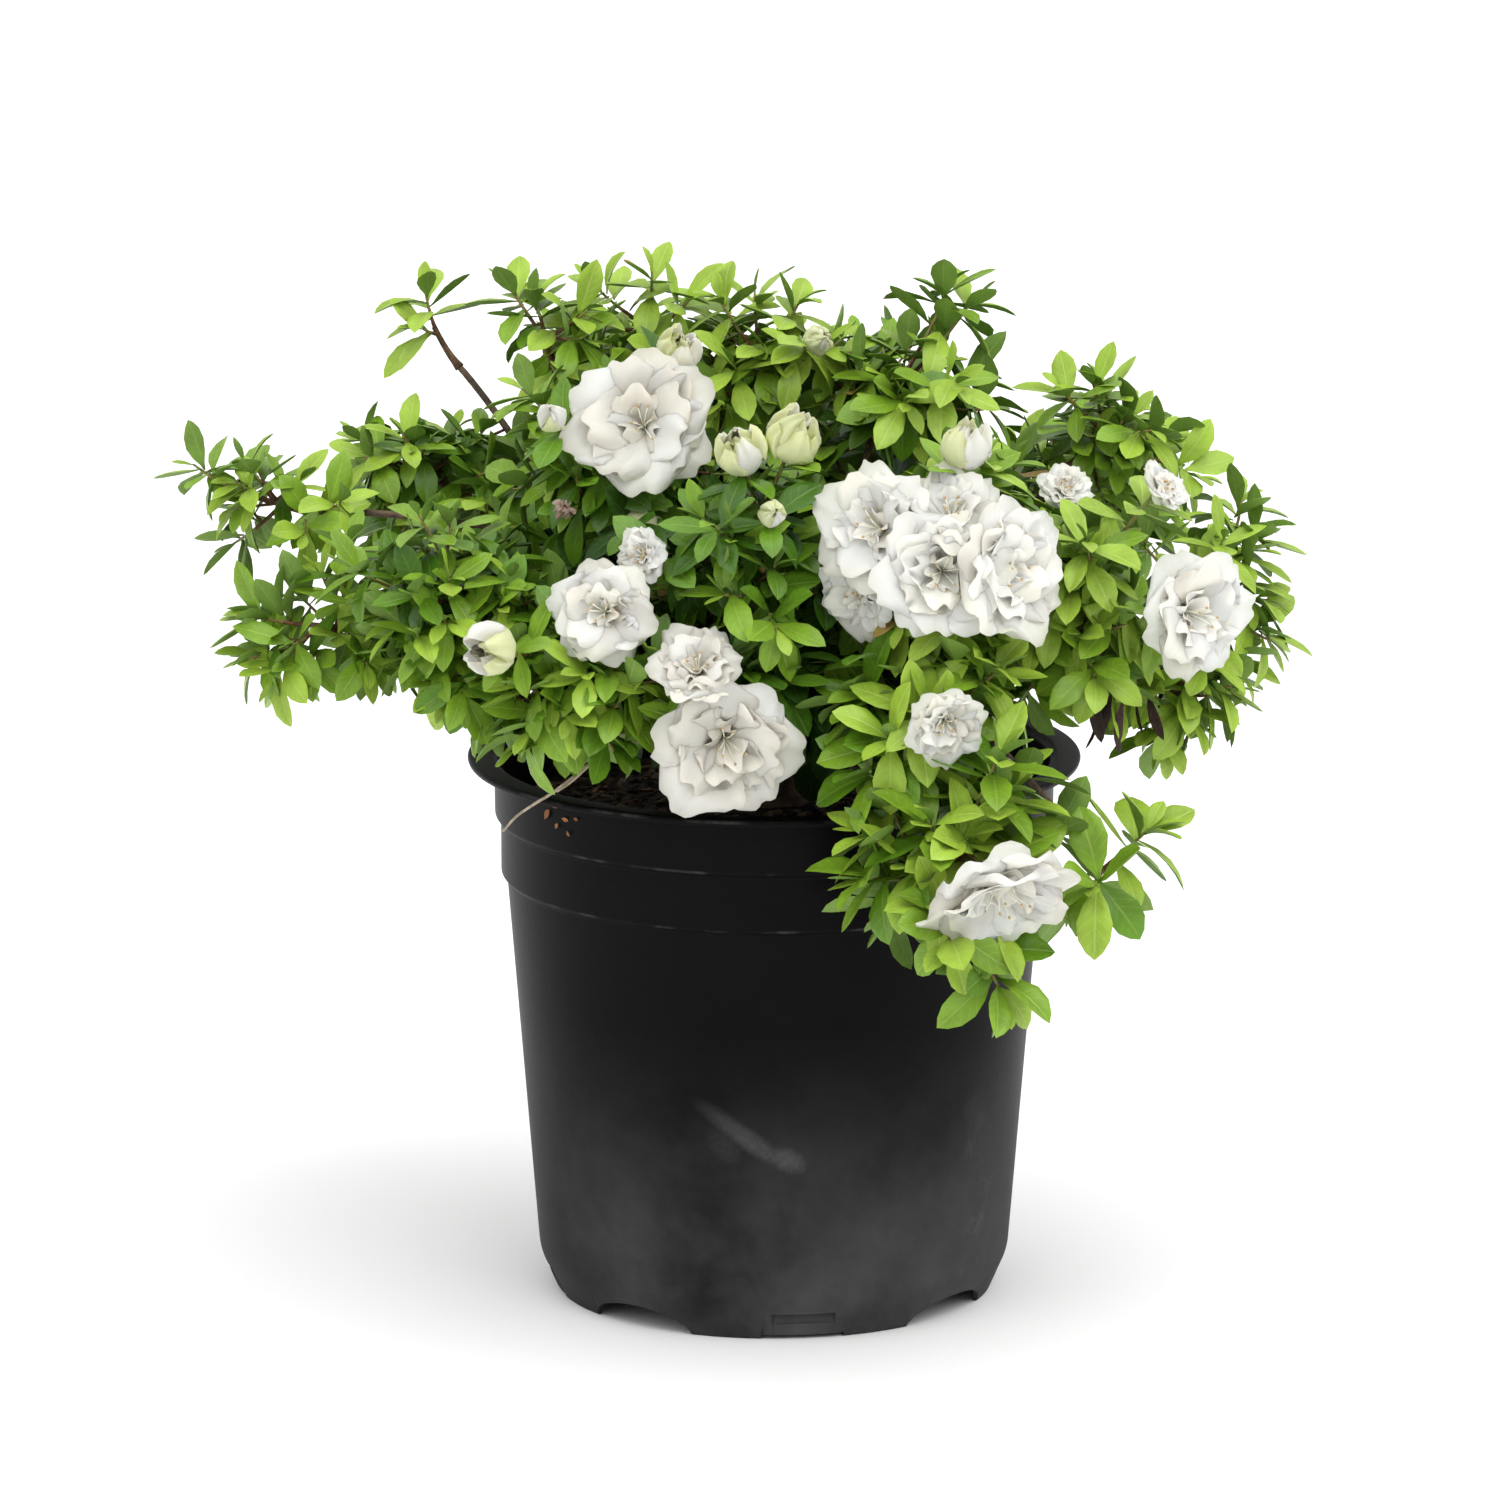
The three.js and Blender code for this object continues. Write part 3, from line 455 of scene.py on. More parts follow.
@dataclass(frozen=True)
class PetalFinish:
    """A petal's soft skin, with fine ribs that fan out and soft patches of a second colour.

    Attributes:
        shade: the colour of its patches.
        glow: how far each colour of that light travels, and the scale of it in metres.
    """

    name: str
    colour: Colour
    shade: Colour
    patchy: float = 0.5
    rough: float = 0.6
    soft: float = 0.6
    glow: tuple[Colour, float] = ((0.9, 0.8, 0.7), 0.006)

    def material(self, effects: Effects) -> Material:
        """Builds the finish from the shared effects."""
        material, nodes = blank(self.name)
        veins = nodes.effect(effects.veins, count=1.5, slant=9, rib=0.06, side=0.5)
        patches = nodes.effect(effects.mottle, scale=90, detail=3, low=0.42, high=0.75)
        share = nodes.maths("MULTIPLY", patches, self.patchy)
        inputs = {
            "Base Color": nodes.mix(share, opaque(self.colour), opaque(self.shade)),
            "Roughness": self.rough,
            "Subsurface Weight": self.soft,
            "Subsurface Radius": self.glow[0],
            "Subsurface Scale": self.glow[1],
            "Normal": nodes.relief(veins, 0.2, 0.2),
        }
        surface(nodes, inputs)
        return material


@dataclass(frozen=True)
class BarkFinish:
    """Bark or dry matter: two browns in patches, rough and cracked.

    Attributes:
        mottled: the colour of its patches.
        scale: how fine the patches are.
    """

    name: str
    colour: Colour
    mottled: Colour
    scale: float = 160
    rough: float = 0.85

    def material(self, effects: Effects) -> Material:
        """Builds the finish from the shared effects."""
        material, nodes = blank(self.name)
        patches = nodes.effect(effects.mottle, scale=self.scale, detail=6, low=0.38, high=0.62)
        cracks = nodes.effect(effects.mottle, scale=5 * self.scale, detail=2, low=0.4, high=0.55)
        inputs = {
            "Base Color": nodes.mix(patches, opaque(self.colour), opaque(self.mottled)),
            "Roughness": self.rough,
            "Normal": nodes.relief(nodes.maths("ADD", patches, cracks), 0.6, 0.4),
        }
        surface(nodes, inputs)
        return material


@dataclass(frozen=True)
class PalePatch:
    """A pale patch on the pot, its sizes in metres: a rubbed scuff, and in one place a painted reflection of
    the floor.

    Attributes:
        size: how far it reaches along each of its axes.
        turn: how far its long axis is turned, in radians.
        strength: how pale it is, from 0 to 1.
    """

    middle: tuple[float, float, float]
    size: tuple[float, float, float]
    turn: float
    strength: float

    @property
    def home(self) -> tuple[float, float, float]:
        """The shift that brings the turned place to the middle."""
        x, y, z = self.middle
        flat = x * math.cos(self.turn) + z * math.sin(self.turn)
        tall = -x * math.sin(self.turn) + z * math.cos(self.turn)
        return (-flat, -y, -tall)


@dataclass(frozen=True)
class PotFinish:
    """Moulded black plastic with dust, rubbed places, a painted reflection low on its right side, and painted
    highlights along its moulded edges.

    Attributes:
        edges: the heights of the moulded edges, which get painted highlights, in metres.
        edge_highlight: how far from an edge the painted highlight is whole and ends, in metres, and how pale
            it is.
        fade: where a pale patch is whole and where it ends, as shares of its size.
    """

    name: str = "pot_plastic"
    colour: Colour = (0.0026, 0.0026, 0.0028)
    # dust_and_highlight is the pale colour of the dust and the scuffs, and also of the painted reflection and
    # the painted edge highlights
    dust_and_highlight: Colour = (0.12, 0.119, 0.119)
    dust: float = 0.62
    pale_patches: tuple[PalePatch, ...] = (
        PalePatch((-0.0095, -0.113, 0.095), (0.03, 0.05, 0.0062), -0.62, 0.9),
        PalePatch((0.0062, -0.113, 0.0868), (0.0125, 0.05, 0.0078), -0.45, 1.0),
        PalePatch((-0.022, -0.112, 0.0925), (0.016, 0.05, 0.011), -0.9, 0.4),
        PalePatch((-0.046, -0.103, 0.05), (0.034, 0.05, 0.011), -0.6, 0.35),
        # painted reflection: this pale patch low on the right side stands in for the pale floor's light
        # reflected on the pot
        PalePatch((0.093, -0.06, 0.052), (0.024, 0.05, 0.062), 0, 0.7),
    )
    edges: tuple[float, ...] = (0.1952, 0.2222, 0.2488)
    edge_highlight: tuple[float, float, float] = (0.0002, 0.0011, 0.4)
    fade: tuple[float, float] = (0.1, 1.35)
    rough: tuple[float, float] = (0.42, 0.75)
    gloss: float = 0.05

    def material(self, effects: Effects) -> Material:
        """Builds the finish from the shared effects."""
        material, nodes = blank(self.name)
        place = nodes.add("TexCoord").outputs["Object"]
        dust = nodes.effect(effects.dust, foot=-0.01, top=0.16, least=0.02, scale=9)
        fine = nodes.effect(effects.mottle, scale=420, detail=5, low=0.3, high=0.75)
        broad = nodes.effect(effects.mottle, scale=26, detail=5, low=0.42, high=0.7)
        mottled = nodes.effect(effects.mottle, scale=60, detail=4, low=0.48, high=0.72)
        mask = nodes.maths("MULTIPLY", dust, self.dust)
        for pale_patch in self.pale_patches:
            around = {"Vector": place, "Location": pale_patch.home, "Rotation": (0.0, pale_patch.turn, 0.0)}
            turned = nodes.add("Mapping", around)
            spread = nodes.add("VectorMath", {0: turned.outputs[0], 1: pale_patch.size}, operation="DIVIDE")
            far = nodes.add("VectorMath", {0: spread.outputs[0]}, operation="LENGTH").outputs["Value"]
            paled = nodes.ramp(far, *self.fade, pale_patch.strength, 0)
            paled = nodes.maths("MULTIPLY", paled, nodes.ramp(fine, 0, 1, 0.8, 1))
            paled = nodes.maths("MULTIPLY", paled, nodes.ramp(broad, 0, 1, 0.5, 1))
            mask = nodes.maths("MAXIMUM", mask, paled)
        height = nodes.add("SeparateXYZ", {"Vector": place}).outputs["Z"]
        # painted highlight: a pale line along each moulded edge and the lip stands in for the light that
        # these edges catch, broken into patches
        for edge in self.edges:
            off = nodes.maths("ABSOLUTE", nodes.maths("SUBTRACT", height, edge))
            near = nodes.ramp(off, *self.edge_highlight, 0)
            mask = nodes.maths("MAXIMUM", mask, nodes.maths("MULTIPLY", near, mottled))
        inputs = {
            "Base Color": nodes.mix(mask, opaque(self.colour), opaque(self.dust_and_highlight)),
            "Roughness": nodes.ramp(mask, 0, 0.6, *self.rough),
            "Specular IOR Level": self.gloss,
            "Normal": nodes.relief(fine, 0.12, 0.2),
        }
        surface(nodes, inputs)
        return material


# Growth, by the same rule as the solids

@dataclass
class Limb:
    """A trunk, bough or stem along a line or a curve of three points.

    Attributes:
        ends: two or three points that shape it.
        radii: its radius at even steps along it.
    """

    name: str
    ends: tuple[Vector, ...]
    radii: list[float]

    def at(self, share: float) -> Vector:
        """The point at a share of the limb."""
        if len(self.ends) == 2:
            return self.ends[0].lerp(self.ends[1], share)
        start, bend, finish = self.ends
        return start * (1 - share) ** 2 + bend * 2 * share * (1 - share) + finish * share**2

    def way(self, share: float) -> Vector:
        """The limb's direction at a share of it."""
        low, high = max(0.0, share - TINY), min(1.0, share + TINY)
        return (self.at(high) - self.at(low)).normalized()

    def radius(self, share: float) -> float:
        """The limb's radius at a share of it."""
        return float(np.interp(share * (len(self.radii) - 1), range(len(self.radii)), self.radii))


@dataclass
class Shoot:
    """A shoot or side shoot, and what stands at its tip.

    Attributes:
        bloom: the radius and facing of its blossom, if it carries one.
        mother: whether side shoots grow on it.
        free: whether it may rise over its mass's cap.
    """

    start: Vector
    finish: Vector
    thick: float
    bloom: tuple[float, Vector] | None = None
    mother: bool = False
    free: bool = False

    @property
    def ahead(self) -> Vector:
        """The shoot's direction."""
        return (self.finish - self.start).normalized()

    @property
    def reach(self) -> float:
        """The shoot's length."""
        return (self.finish - self.start).length


@dataclass
class Plan:
    """A shoot that is still to be tried on its stem.

    Attributes:
        share: where on the stem it leaves.
        longer: whether it runs on past the solids' shoot.
        free: whether it may rise over the cap and lean into a neighbouring mass.
    """

    way: Vector
    length: float
    share: float
    lift: float = 0
    bloom: tuple[float, Vector] | None = None
    longer: bool = True
    free: bool = False


@dataclass
class Mass:
    """A mass of foliage on a stem of its own.

    Attributes:
        at: heading from the front, reach from the axis, and height.
        shoots: shoots in its spiral.
        tips: long tips by heading, rise and distance.
        blooms: blossom by heading, rise, distance, radius and the heading and rise that it faces.
        buds: small blossom that only the dressed shrub has, given in the same way.
        sprigs: long sprigs that only the dressed shrub has, by heading, rise and distance.
        full: how many of its side shoots stand, from 0 to 1.
        wide: how far its side shoots run out, as a share of its spread.
        cap: the height that the leaves of its finer shoots stay under.
        painted_shade: the share of its blossom's petals that get the darker shaded finish, as painted shade
            on blooms that stand in shadow.
    """

    name: str
    at: tuple[float, float, float]
    spread: float
    shoots: int
    tips: list = field(default_factory=list)
    blooms: list = field(default_factory=list)
    buds: list = field(default_factory=list)
    lift: float = 0.12
    leaf: float = 27
    broad: float = 0.46
    # bright: how light its greens are, partly the leaves' own freshness and partly painted light on the top
    # and right masses and painted shade on the inner ones
    bright: float = 0.5
    sprigs: list = field(default_factory=list)
    full: float = 1
    wide: float = 0.74
    cap: float = 999
    painted_shade: float = 0.25

    @property
    def middle(self) -> Vector:
        """The middle of its space."""
        heading, reach, height = self.at
        return aim(heading, 0) * reach + UP * height

    @property
    def node(self) -> str:
        """The frame's node that this mass replaces."""
        return f"foliage_{self.name}"


MASSES = [
    Mass(
        "left_reach", (-86, 228, 370), 37, 3, tips=[(-92, 26, 50)], leaf=24, bright=0.72,
        sprigs=[(-88, 56, 22), (-60, 30, 20), (73, 36, 17), (82, -15, 32)], full=0.35, wide=0.56, cap=396,
    ),
    Mass(
        "left_low", (-71, 217, 325), 39, 4, tips=[(-59, -45, 42)], leaf=25, bright=0.75,
        sprigs=[(-100, 4, 32), (-80, -26, 34), (-20, -60, 24), (69, -13, 27)], full=0.5, wide=0.6,
    ),
    Mass(
        "left_shoulder", (-99, 161, 376), 34, 5, leaf=23, bright=0.6,
        sprigs=[(-95, 24, 34), (-53, 16, 36), (-23, 40, 32), (80, 36, 36)], cap=403,
    ),
    Mass(
        "left_upper_sprig", (-106, 160, 437), 28, 3, tips=[(-99, 75, 30)], leaf=27, bright=0.8,
        sprigs=[(-40, 12, 10)], full=0, cap=405,
    ),
    Mass(
        "top_left", (-98, 105, 441), 31, 3, tips=[(-128, 68, 28)], leaf=25, bright=0.75,
        sprigs=[(-108, 51, 26), (60, 30, 26), (50, 1, 23), (30, -50, 30)], full=0.2, cap=408,
    ),
    Mass(
        "left_front", (-53.5, 177, 343), 45, 5, tips=[(-40, -62, 46)], leaf=25, bright=0.54,
        sprigs=[(-75, 20, 50), (10, -55, 50), (-60, 66, 44), (26, -75, 40), (-10, -70, 44)],
    ),
    Mass(
        "left_skirt", (-33, 163, 318), 40, 4, tips=[(-60, -50, 44)], leaf=26, bright=0.68,
        blooms=[(31, 49, 41, 24, -10, 12), (-42, 20, 50, 11, -40, 10)],
        sprigs=[(-110, -30, 52), (-90, -55, 44), (60, -60, 40)],
    ),
    Mass(
        "upper_front_left", (-44, 106, 402), 42, 4, leaf=25, bright=0.45, painted_shade=0.6,
        blooms=[(32, 34, 34, 33, -8, 22), (83, 56, 54, 10, 20, 50)],
        buds=[(-37, 29, 46, 9, -20, 50), (25, -38, 38, 10.5, 15, -55)],
        sprigs=[(-110, 34, 50), (-95, -20, 46)],
    ),
    Mass(
        "top_centre", (-114, 62, 443), 34, 5, leaf=25, bright=1.08,
        sprigs=[(-79, 37, 32), (5, 61, 31), (42, 29, 31), (-83, -2, 38)], cap=448,
    ),
    Mass(
        "top_right_centre", (-140, 7, 433), 35, 5, leaf=25, bright=1.08, buds=[(35, 17, 42, 9, 30, 20)],
        sprigs=[(-76, 52, 35), (-138, 77, 29), (89, 57, 30), (75, 4, 41)], cap=452,
    ),
    Mass(
        "heart_front", (-6, 127, 366), 45, 5, leaf=26, bright=0.42,
        blooms=[(79, 68, 54, 12, 30, 55), (-62, 7, 51, 12.6, -30, 15)],
        buds=[(0, 79, 46, 11, -25, 55), (18, 36, 46, 8, 10, 20)], sprigs=[(20, -30, 48), (-20, 30, 44)],
    ),
    Mass(
        "front_blossom", (-9, 150, 302), 34, 4, leaf=26, bright=0.4, painted_shade=0.85,
        blooms=[(4, -21, 25, 33, 4, -8), (-20, 40, 40, 20, -10, 40)],
    ),
    Mass(
        "blossom_front", (29, 146, 368), 47, 4, leaf=26, bright=0.7, painted_shade=0.12,
        blooms=[
            (-39, 24, 46, 28, -30, 18), (3, 2, 46, 30, 4, 6), (38, 0, 48, 31, 42, 12),
            (29, 62, 54, 11, 20, 70),
        ],
        buds=[(-52, -16, 44, 19, -30, -10), (10, 34, 46, 22, 5, 40)],
        sprigs=[(60, 60, 50), (10, -62, 46), (157, 45, 50), (110, 50, 52)],
    ),
    Mass(
        "upper_right", (80, 57, 421), 37, 5, tips=[(131, 53, 64)], leaf=27, bright=0.84,
        sprigs=[
            (163, 50, 22), (-90, 20, 26), (123, 42, 55), (118, 2, 40), (100, -14, 46), (40, 10, 40),
        ],
        wide=0.6, cap=436,
    ),
    Mass(
        "right_shoulder", (95, 153, 396), 36, 5, tips=[(-147, 73, 32)], leaf=24, bright=0.86,
        sprigs=[(-60, 40, 35), (-68, 70, 26), (98, 30, 14), (83, -5, 29), (73, -24, 46)], wide=0.5, cap=412,
    ),
    Mass(
        "right_front", (54, 170, 342), 39, 4, leaf=27, bright=0.92, painted_shade=0.1,
        blooms=[(62, -1, 53, 28, 30, 2), (-158, 64, 50, 13, 20, 55), (90, 56, 60, 12.6, 60, 40)],
        sprigs=[(0, 50, 42), (10, -50, 42), (-105, -60, 56), (89, -70, 47)],
    ),
    Mass(
        "right_reach", (79, 200, 336), 38, 4, tips=[(123, 42, 48)], leaf=25, bright=1.02,
        sprigs=[(141, 56, 42), (96, 40, 26), (87, -15, 28), (80, -42, 38), (57, -67, 44)], wide=0.52,
    ),
    Mass(
        "right_low", (71, 190, 292), 32, 5, leaf=25, bright=0.98,
        sprigs=[(90, 4, 26), (60, -50, 18)], wide=0.44,
    ),
    Mass(
        "front_skirt", (22, 168, 303), 36, 5, leaf=30, broad=0.5, bright=0.76,
        blooms=[(18, 5, 38, 18, 8, -12)], sprigs=[(-60, -48, 40), (80, 30, 42), (-101, 8, 34)],
    ),
    Mass(
        "hanging_spray", (24, 198, 236), 42, 4, tips=[(50, -62, 67)], blooms=[(28, 1, 36, 35, 22, -45)],
        lift=-0.2, leaf=31, broad=0.5, bright=0.82, full=0.6, wide=0.6, painted_shade=0.5,
        sprigs=[
            (-84, -2, 42), (-90, 26, 44), (80, 60, 44), (60, 70, 60), (122, 12, 58), (131, 43, 60),
        ],
    ),
    Mass(
        "hanging_tip", (44, 208, 231), 30, 2, tips=[(89, 42, 39)], lift=-0.15, leaf=31, broad=0.5,
        bright=0.75, full=0, wide=0.4,
    ),
    Mass(
        "back_left", (-120, 190, 336), 46, 4, leaf=25, cap=384,
        blooms=[(180, -10, 46, 26, -165, 0)],
    ),
    Mass(
        "back_crown_left", (-142, 121, 409), 44, 4, leaf=25, cap=440,
        blooms=[(-165, -20, 42, 25, -160, 5)],
    ),
    Mass(
        "back_left_low", (-147.5, 196, 318), 42, 4, leaf=26, bright=0.6,
        blooms=[(-150, -8, 40, 20, -155, -4)],
    ),
    Mass("back_centre", (180, 170, 355), 46, 4, blooms=[(172, 14, 48, 27, 175, 14)], leaf=26),
    Mass("back_crown", (157, 103, 398), 44, 3, blooms=[(170, -20, 42, 23, 165, 5)], leaf=25, cap=436),
    Mass(
        "back_right_low", (150, 190, 312), 42, 4, leaf=26, bright=0.6,
        blooms=[(130, 4, 40, 20, 125, 4)],
    ),
    Mass("back_right", (122, 178, 358), 46, 4, blooms=[(165, -10, 48, 26, 155, 0)], leaf=26, cap=402),
]

# The mass that each bough feeds, what carries it, how far along, and how much it arches.
BOUGHS = [
    ("top_right_centre", "trunk", 1, 0),
    ("heart_front", "trunk", 0.62, 0.1),
    ("right_front", "trunk", 0.64, 0.12),
    ("back_crown", "trunk", 0.6, 0.05),
    ("left_shoulder", "trunk", 0.66, 0.08),
    ("left_front", "trunk", 0.3, 0.12),
    ("front_skirt", "trunk", 0.32, 0.12),
    ("right_shoulder", "trunk", 0.28, 0.08),
    ("back_crown_left", "trunk", 0.32, 0.05),
    ("top_centre", "top_right_centre", 0.5, 0),
    ("upper_right", "top_right_centre", 0.32, 0),
    ("upper_front_left", "heart_front", 0.34, 0),
    ("front_blossom", "heart_front", 0.55, 0.15),
    ("blossom_front", "right_front", 0.36, 0),
    ("right_reach", "right_front", 0.62, 0.05),
    ("right_low", "right_front", 0.74, 0.12),
    ("top_left", "left_shoulder", 0.42, 0),
    ("left_reach", "left_shoulder", 0.56, 0.05),
    ("left_upper_sprig", "left_shoulder", 0.74, 0),
    ("left_skirt", "left_front", 0.42, 0.1),
    ("left_low", "left_front", 0.62, 0.1),
    ("hanging_spray", "front_skirt", 0.62, 0.2),
    ("hanging_tip", "right_front", 0.48, 0.2),
    ("back_left", "back_crown_left", 0.5, 0.08),
    ("back_left_low", "back_crown_left", 0.34, 0.12),
    ("back_centre", "back_crown", 0.46, 0.08),
    ("back_right_low", "back_crown", 0.3, 0.12),
    ("back_right", "right_shoulder", 0.42, 0.08),
]


@dataclass
class Skeleton:
    """The limbs and shoots that bark, leaves and blossom are put on.

    Attributes:
        taper: its radius by the share of its height.
        bough_stop: how far before its mass's middle a bough ends, as a share of the mass's spread.
        bough_turn: the least that it turns away, with how far it then follows its parent.
        bough_thick: the most that its radius is, and its share of its parent's radius.
        bough_tip: the least that its tip's radius is, and its share of its own radius.
        joint: the gap between the solids' limbs.
        mass_gap: half of the gap between the solids' masses.
        bridge: how far beyond their reach two neighbours fill the gap between them.
        solid_leaf: the length of the solids' leaves.
        longer: how much further than theirs these shoots run, as these leaves are shorter.
        seat: how far behind a bloom's middle its stalk ends, as a share of its radius.
        leave: where on its stem the first shoot leaves.
        stalk_step: the least share at which a bloom's stalk leaves, and the share between stalks.
        spiral: how far round the mass its spiral of shoots opens, and how far down the stem it starts.
        ragged: how ragged the masses' reach is, and how finely.
    """

    foot: float = 226.3
    fork: float = 270
    lean: float = 4
    taper: tuple = ((0, 14), (0.08, 10.8), (0.24, 9), (0.55, 8.2), (0.85, 7.6), (1, 6.4))
    bough_stop: float = 0.72
    bough_follow: float = 0.35
    bough_rise: float = 0.25
    bough_turn: tuple = (0.62, 0.78)
    bough_bend: float = 0.48
    bough_thick: tuple = (4.0, 0.72)
    bough_tip: tuple = (1.5, 0.5)
    stem_thick: tuple = (2.1, 1.5)
    stem_run: float = 0.08
    shoot_thick: tuple = (1.05, 0.75)
    joint: float = 0.3
    mass_gap: float = 0.4
    overlap: float = 9
    sprig_overlap: float = 30
    inner_overlap: float = 90
    inner_step: float = 6.5
    heart: tuple = (0, 8, 332)
    heart_size: tuple = (168, 132, 78)
    bridge: float = 20
    limb_margin: float = 1.6
    cap_margin: float = 8
    apart: float = 12.5
    crowded: float = 0.86
    solid_leaf: float = 45
    longer: float = 11
    seat: float = 0.36
    leave: float = 0.93
    sprig_leaves: tuple = (0.85, 0.55, 0.25)
    stalk_step: tuple = (0.1, 0.12)
    spiral: tuple = (1.6, 0.55)
    spiral_reach: tuple = (0.5, 0.2)
    shrinks: tuple = (1, 0.8, 0.62, 0.45)
    side_shrinks: tuple = (1, 0.8, 0.62, 0.48)
    ragged: tuple = (0.25, 0.04)
    outward: float = 0.25
    side_tilt: tuple = (42, 62)
    side_reach: tuple = (0.42, 0.62)
    stem_sides: int = 9
    stem_tilt: tuple = (45, 80)
    stem_reach: tuple = (0.55, 0.85)
    inner_start: float = 0.18
    inner_rise: float = 0.15
    inner_tilt: tuple = (48, 88)
    inner_reach: tuple = (18, 40)

    def __post_init__(self) -> None:
        """Grows the trunk, the boughs, the stems and every shoot."""
        shares, radii = zip(*self.taper)
        even = [float(np.interp(k / 10, shares, radii)) for k in range(11)]
        ends = (Vector((0, 0, self.foot)), Vector((self.lean, 0, self.fork)))
        self.trunk = Limb("trunk", ends, even)
        self.boughs: dict[str, Limb] = {}
        masses = {mass.name: mass for mass in MASSES}
        for feeds, source, share, arch in BOUGHS:
            parent = self.boughs.get(source, self.trunk)
            self.boughs[feeds] = self._bough(masses[feeds], parent, share, arch)
        self.stems = {mass.name: self._stem(mass, self.boughs[mass.name]) for mass in MASSES}
        self._survey()
        self.tips: list[Vector] = []
        self.shoots = {mass.name: self._shoots(mass, Draws(SEED + i)) for i, mass in enumerate(MASSES)}

    def _bough(self, mass: Mass, parent: Limb, share: float, arch: float) -> Limb:
        """The bough that leaves a parent limb and stops short of its mass.

        Args:
            mass: what it feeds.
            parent: what carries it.
            share: how far along its parent it leaves.
            arch: how much it arches.

        Returns:
            The bough.
        """
        start = parent.at(share)
        over = start + UP * arch * (mass.middle - start).length
        finish = mass.middle - (mass.middle - over).normalized() * self.bough_stop * mass.spread
        along = parent.way(share)
        leave = (mass.middle - start).normalized().lerp(along, self.bough_follow)
        leave = (leave + UP * (self.bough_rise + arch)).normalized()
        across = leave - along * leave.dot(along)
        least, follow = self.bough_turn
        if across.length < least:
            leave = (along * follow + across.normalized() * least).normalized()
        if share == 1:
            leave = UP.copy()
        bend = start + leave * self.bough_bend * (finish - start).length
        thick = min(self.bough_thick[0], self.bough_thick[1] * parent.radius(share))
        tip = max(self.bough_tip[0], self.bough_tip[1] * thick)
        return Limb(mass.name, (start, bend, finish), [thick, tip])

    def _stem(self, mass: Mass, bough: Limb) -> Limb:
        """The stem that a mass grows on, from its bough's tip to its middle."""
        end = bough.way(1)
        start = bough.at(1) + end * self.joint
        bend = start + end * 0.5 * (mass.middle - start).length
        finish = mass.middle + end * self.stem_run * mass.spread
        return Limb(mass.name, (start, bend, finish), list(self.stem_thick))

    def _survey(self) -> None:
        """Keeps arrays of the masses and limbs for the tests below."""
        self.middles = np.array([mass.middle for mass in MASSES])
        self.spreads = np.array([mass.spread for mass in MASSES])
        self.reaches = np.array([mass.wide * mass.spread for mass in MASSES])
        limbs = [self.trunk, *self.boughs.values(), *self.stems.values()]
        runs = [(limb, k / 4, (k + 1) / 4) for limb in limbs for k in range(4)]
        self.limb_starts = np.array([limb.at(low) for limb, low, _ in runs])
        self.limb_ends = np.array([limb.at(high) for limb, _, high in runs])
        self.limb_radii = np.array([limb.radius(low) for limb, low, _ in runs])
        self.limb_owners = [limb for limb, *_ in runs]

    def inside(self, mass: Mass, point: Vector, overlap: float) -> bool:
        """Whether a point lies in a mass's space, or leans out of it by an overlap at most."""
        far = ((self.middles - np.array(point)) ** 2).sum(axis=1) - self.spreads**2
        index = MASSES.index(mass)
        apart = np.linalg.norm(self.middles - self.middles[index], axis=1)
        apart[index] = 1
        margins = (far - far[index]) / (2 * apart)
        margins[index] = np.inf
        return bool(margins.min() > -overlap)

    def within_reach(self, point: Vector) -> bool:
        """Whether a point lies in the ragged reach of a mass, between two, or inside the crown."""
        far = np.linalg.norm(self.middles - np.array(point), axis=1)
        ragged = 1 + self.ragged[0] * noise.noise(point * self.ragged[1])
        beyond = far - self.reaches * ragged
        inner = (np.array(point) - self.heart) / self.heart_size
        return bool(beyond.min() < 0 or (beyond < self.bridge).sum() > 1 or (inner**2).sum() < 1)

    def clear_of_limbs(self, points: Sequence[Vector], own: Limb | None = None) -> bool:
        """Whether points keep clear of every limb but one."""
        runs = self.limb_ends - self.limb_starts
        lengths = (runs**2).sum(axis=1)
        for point in points:
            offset = np.array(point) - self.limb_starts
            shares = np.clip((offset * runs).sum(axis=1) / lengths, 0, 1)
            far = np.linalg.norm(offset - runs * shares[:, None], axis=1)
            near = np.nonzero(far < self.limb_radii + self.limb_margin)[0]
            if any(self.limb_owners[k] is not own for k in near):
                return False
        return True

    def _fits(self, mass: Mass, point: Vector, overlap: float) -> bool:
        """Whether a point stands in a mass's space, clear of the pot."""
        return self.inside(mass, point, overlap) and Pot.clear(point)

    def _roomy(self, point: Vector) -> bool:
        """Whether a point keeps its distance from every tip so far."""
        return all((point - tip).length > self.apart for tip in self.tips)

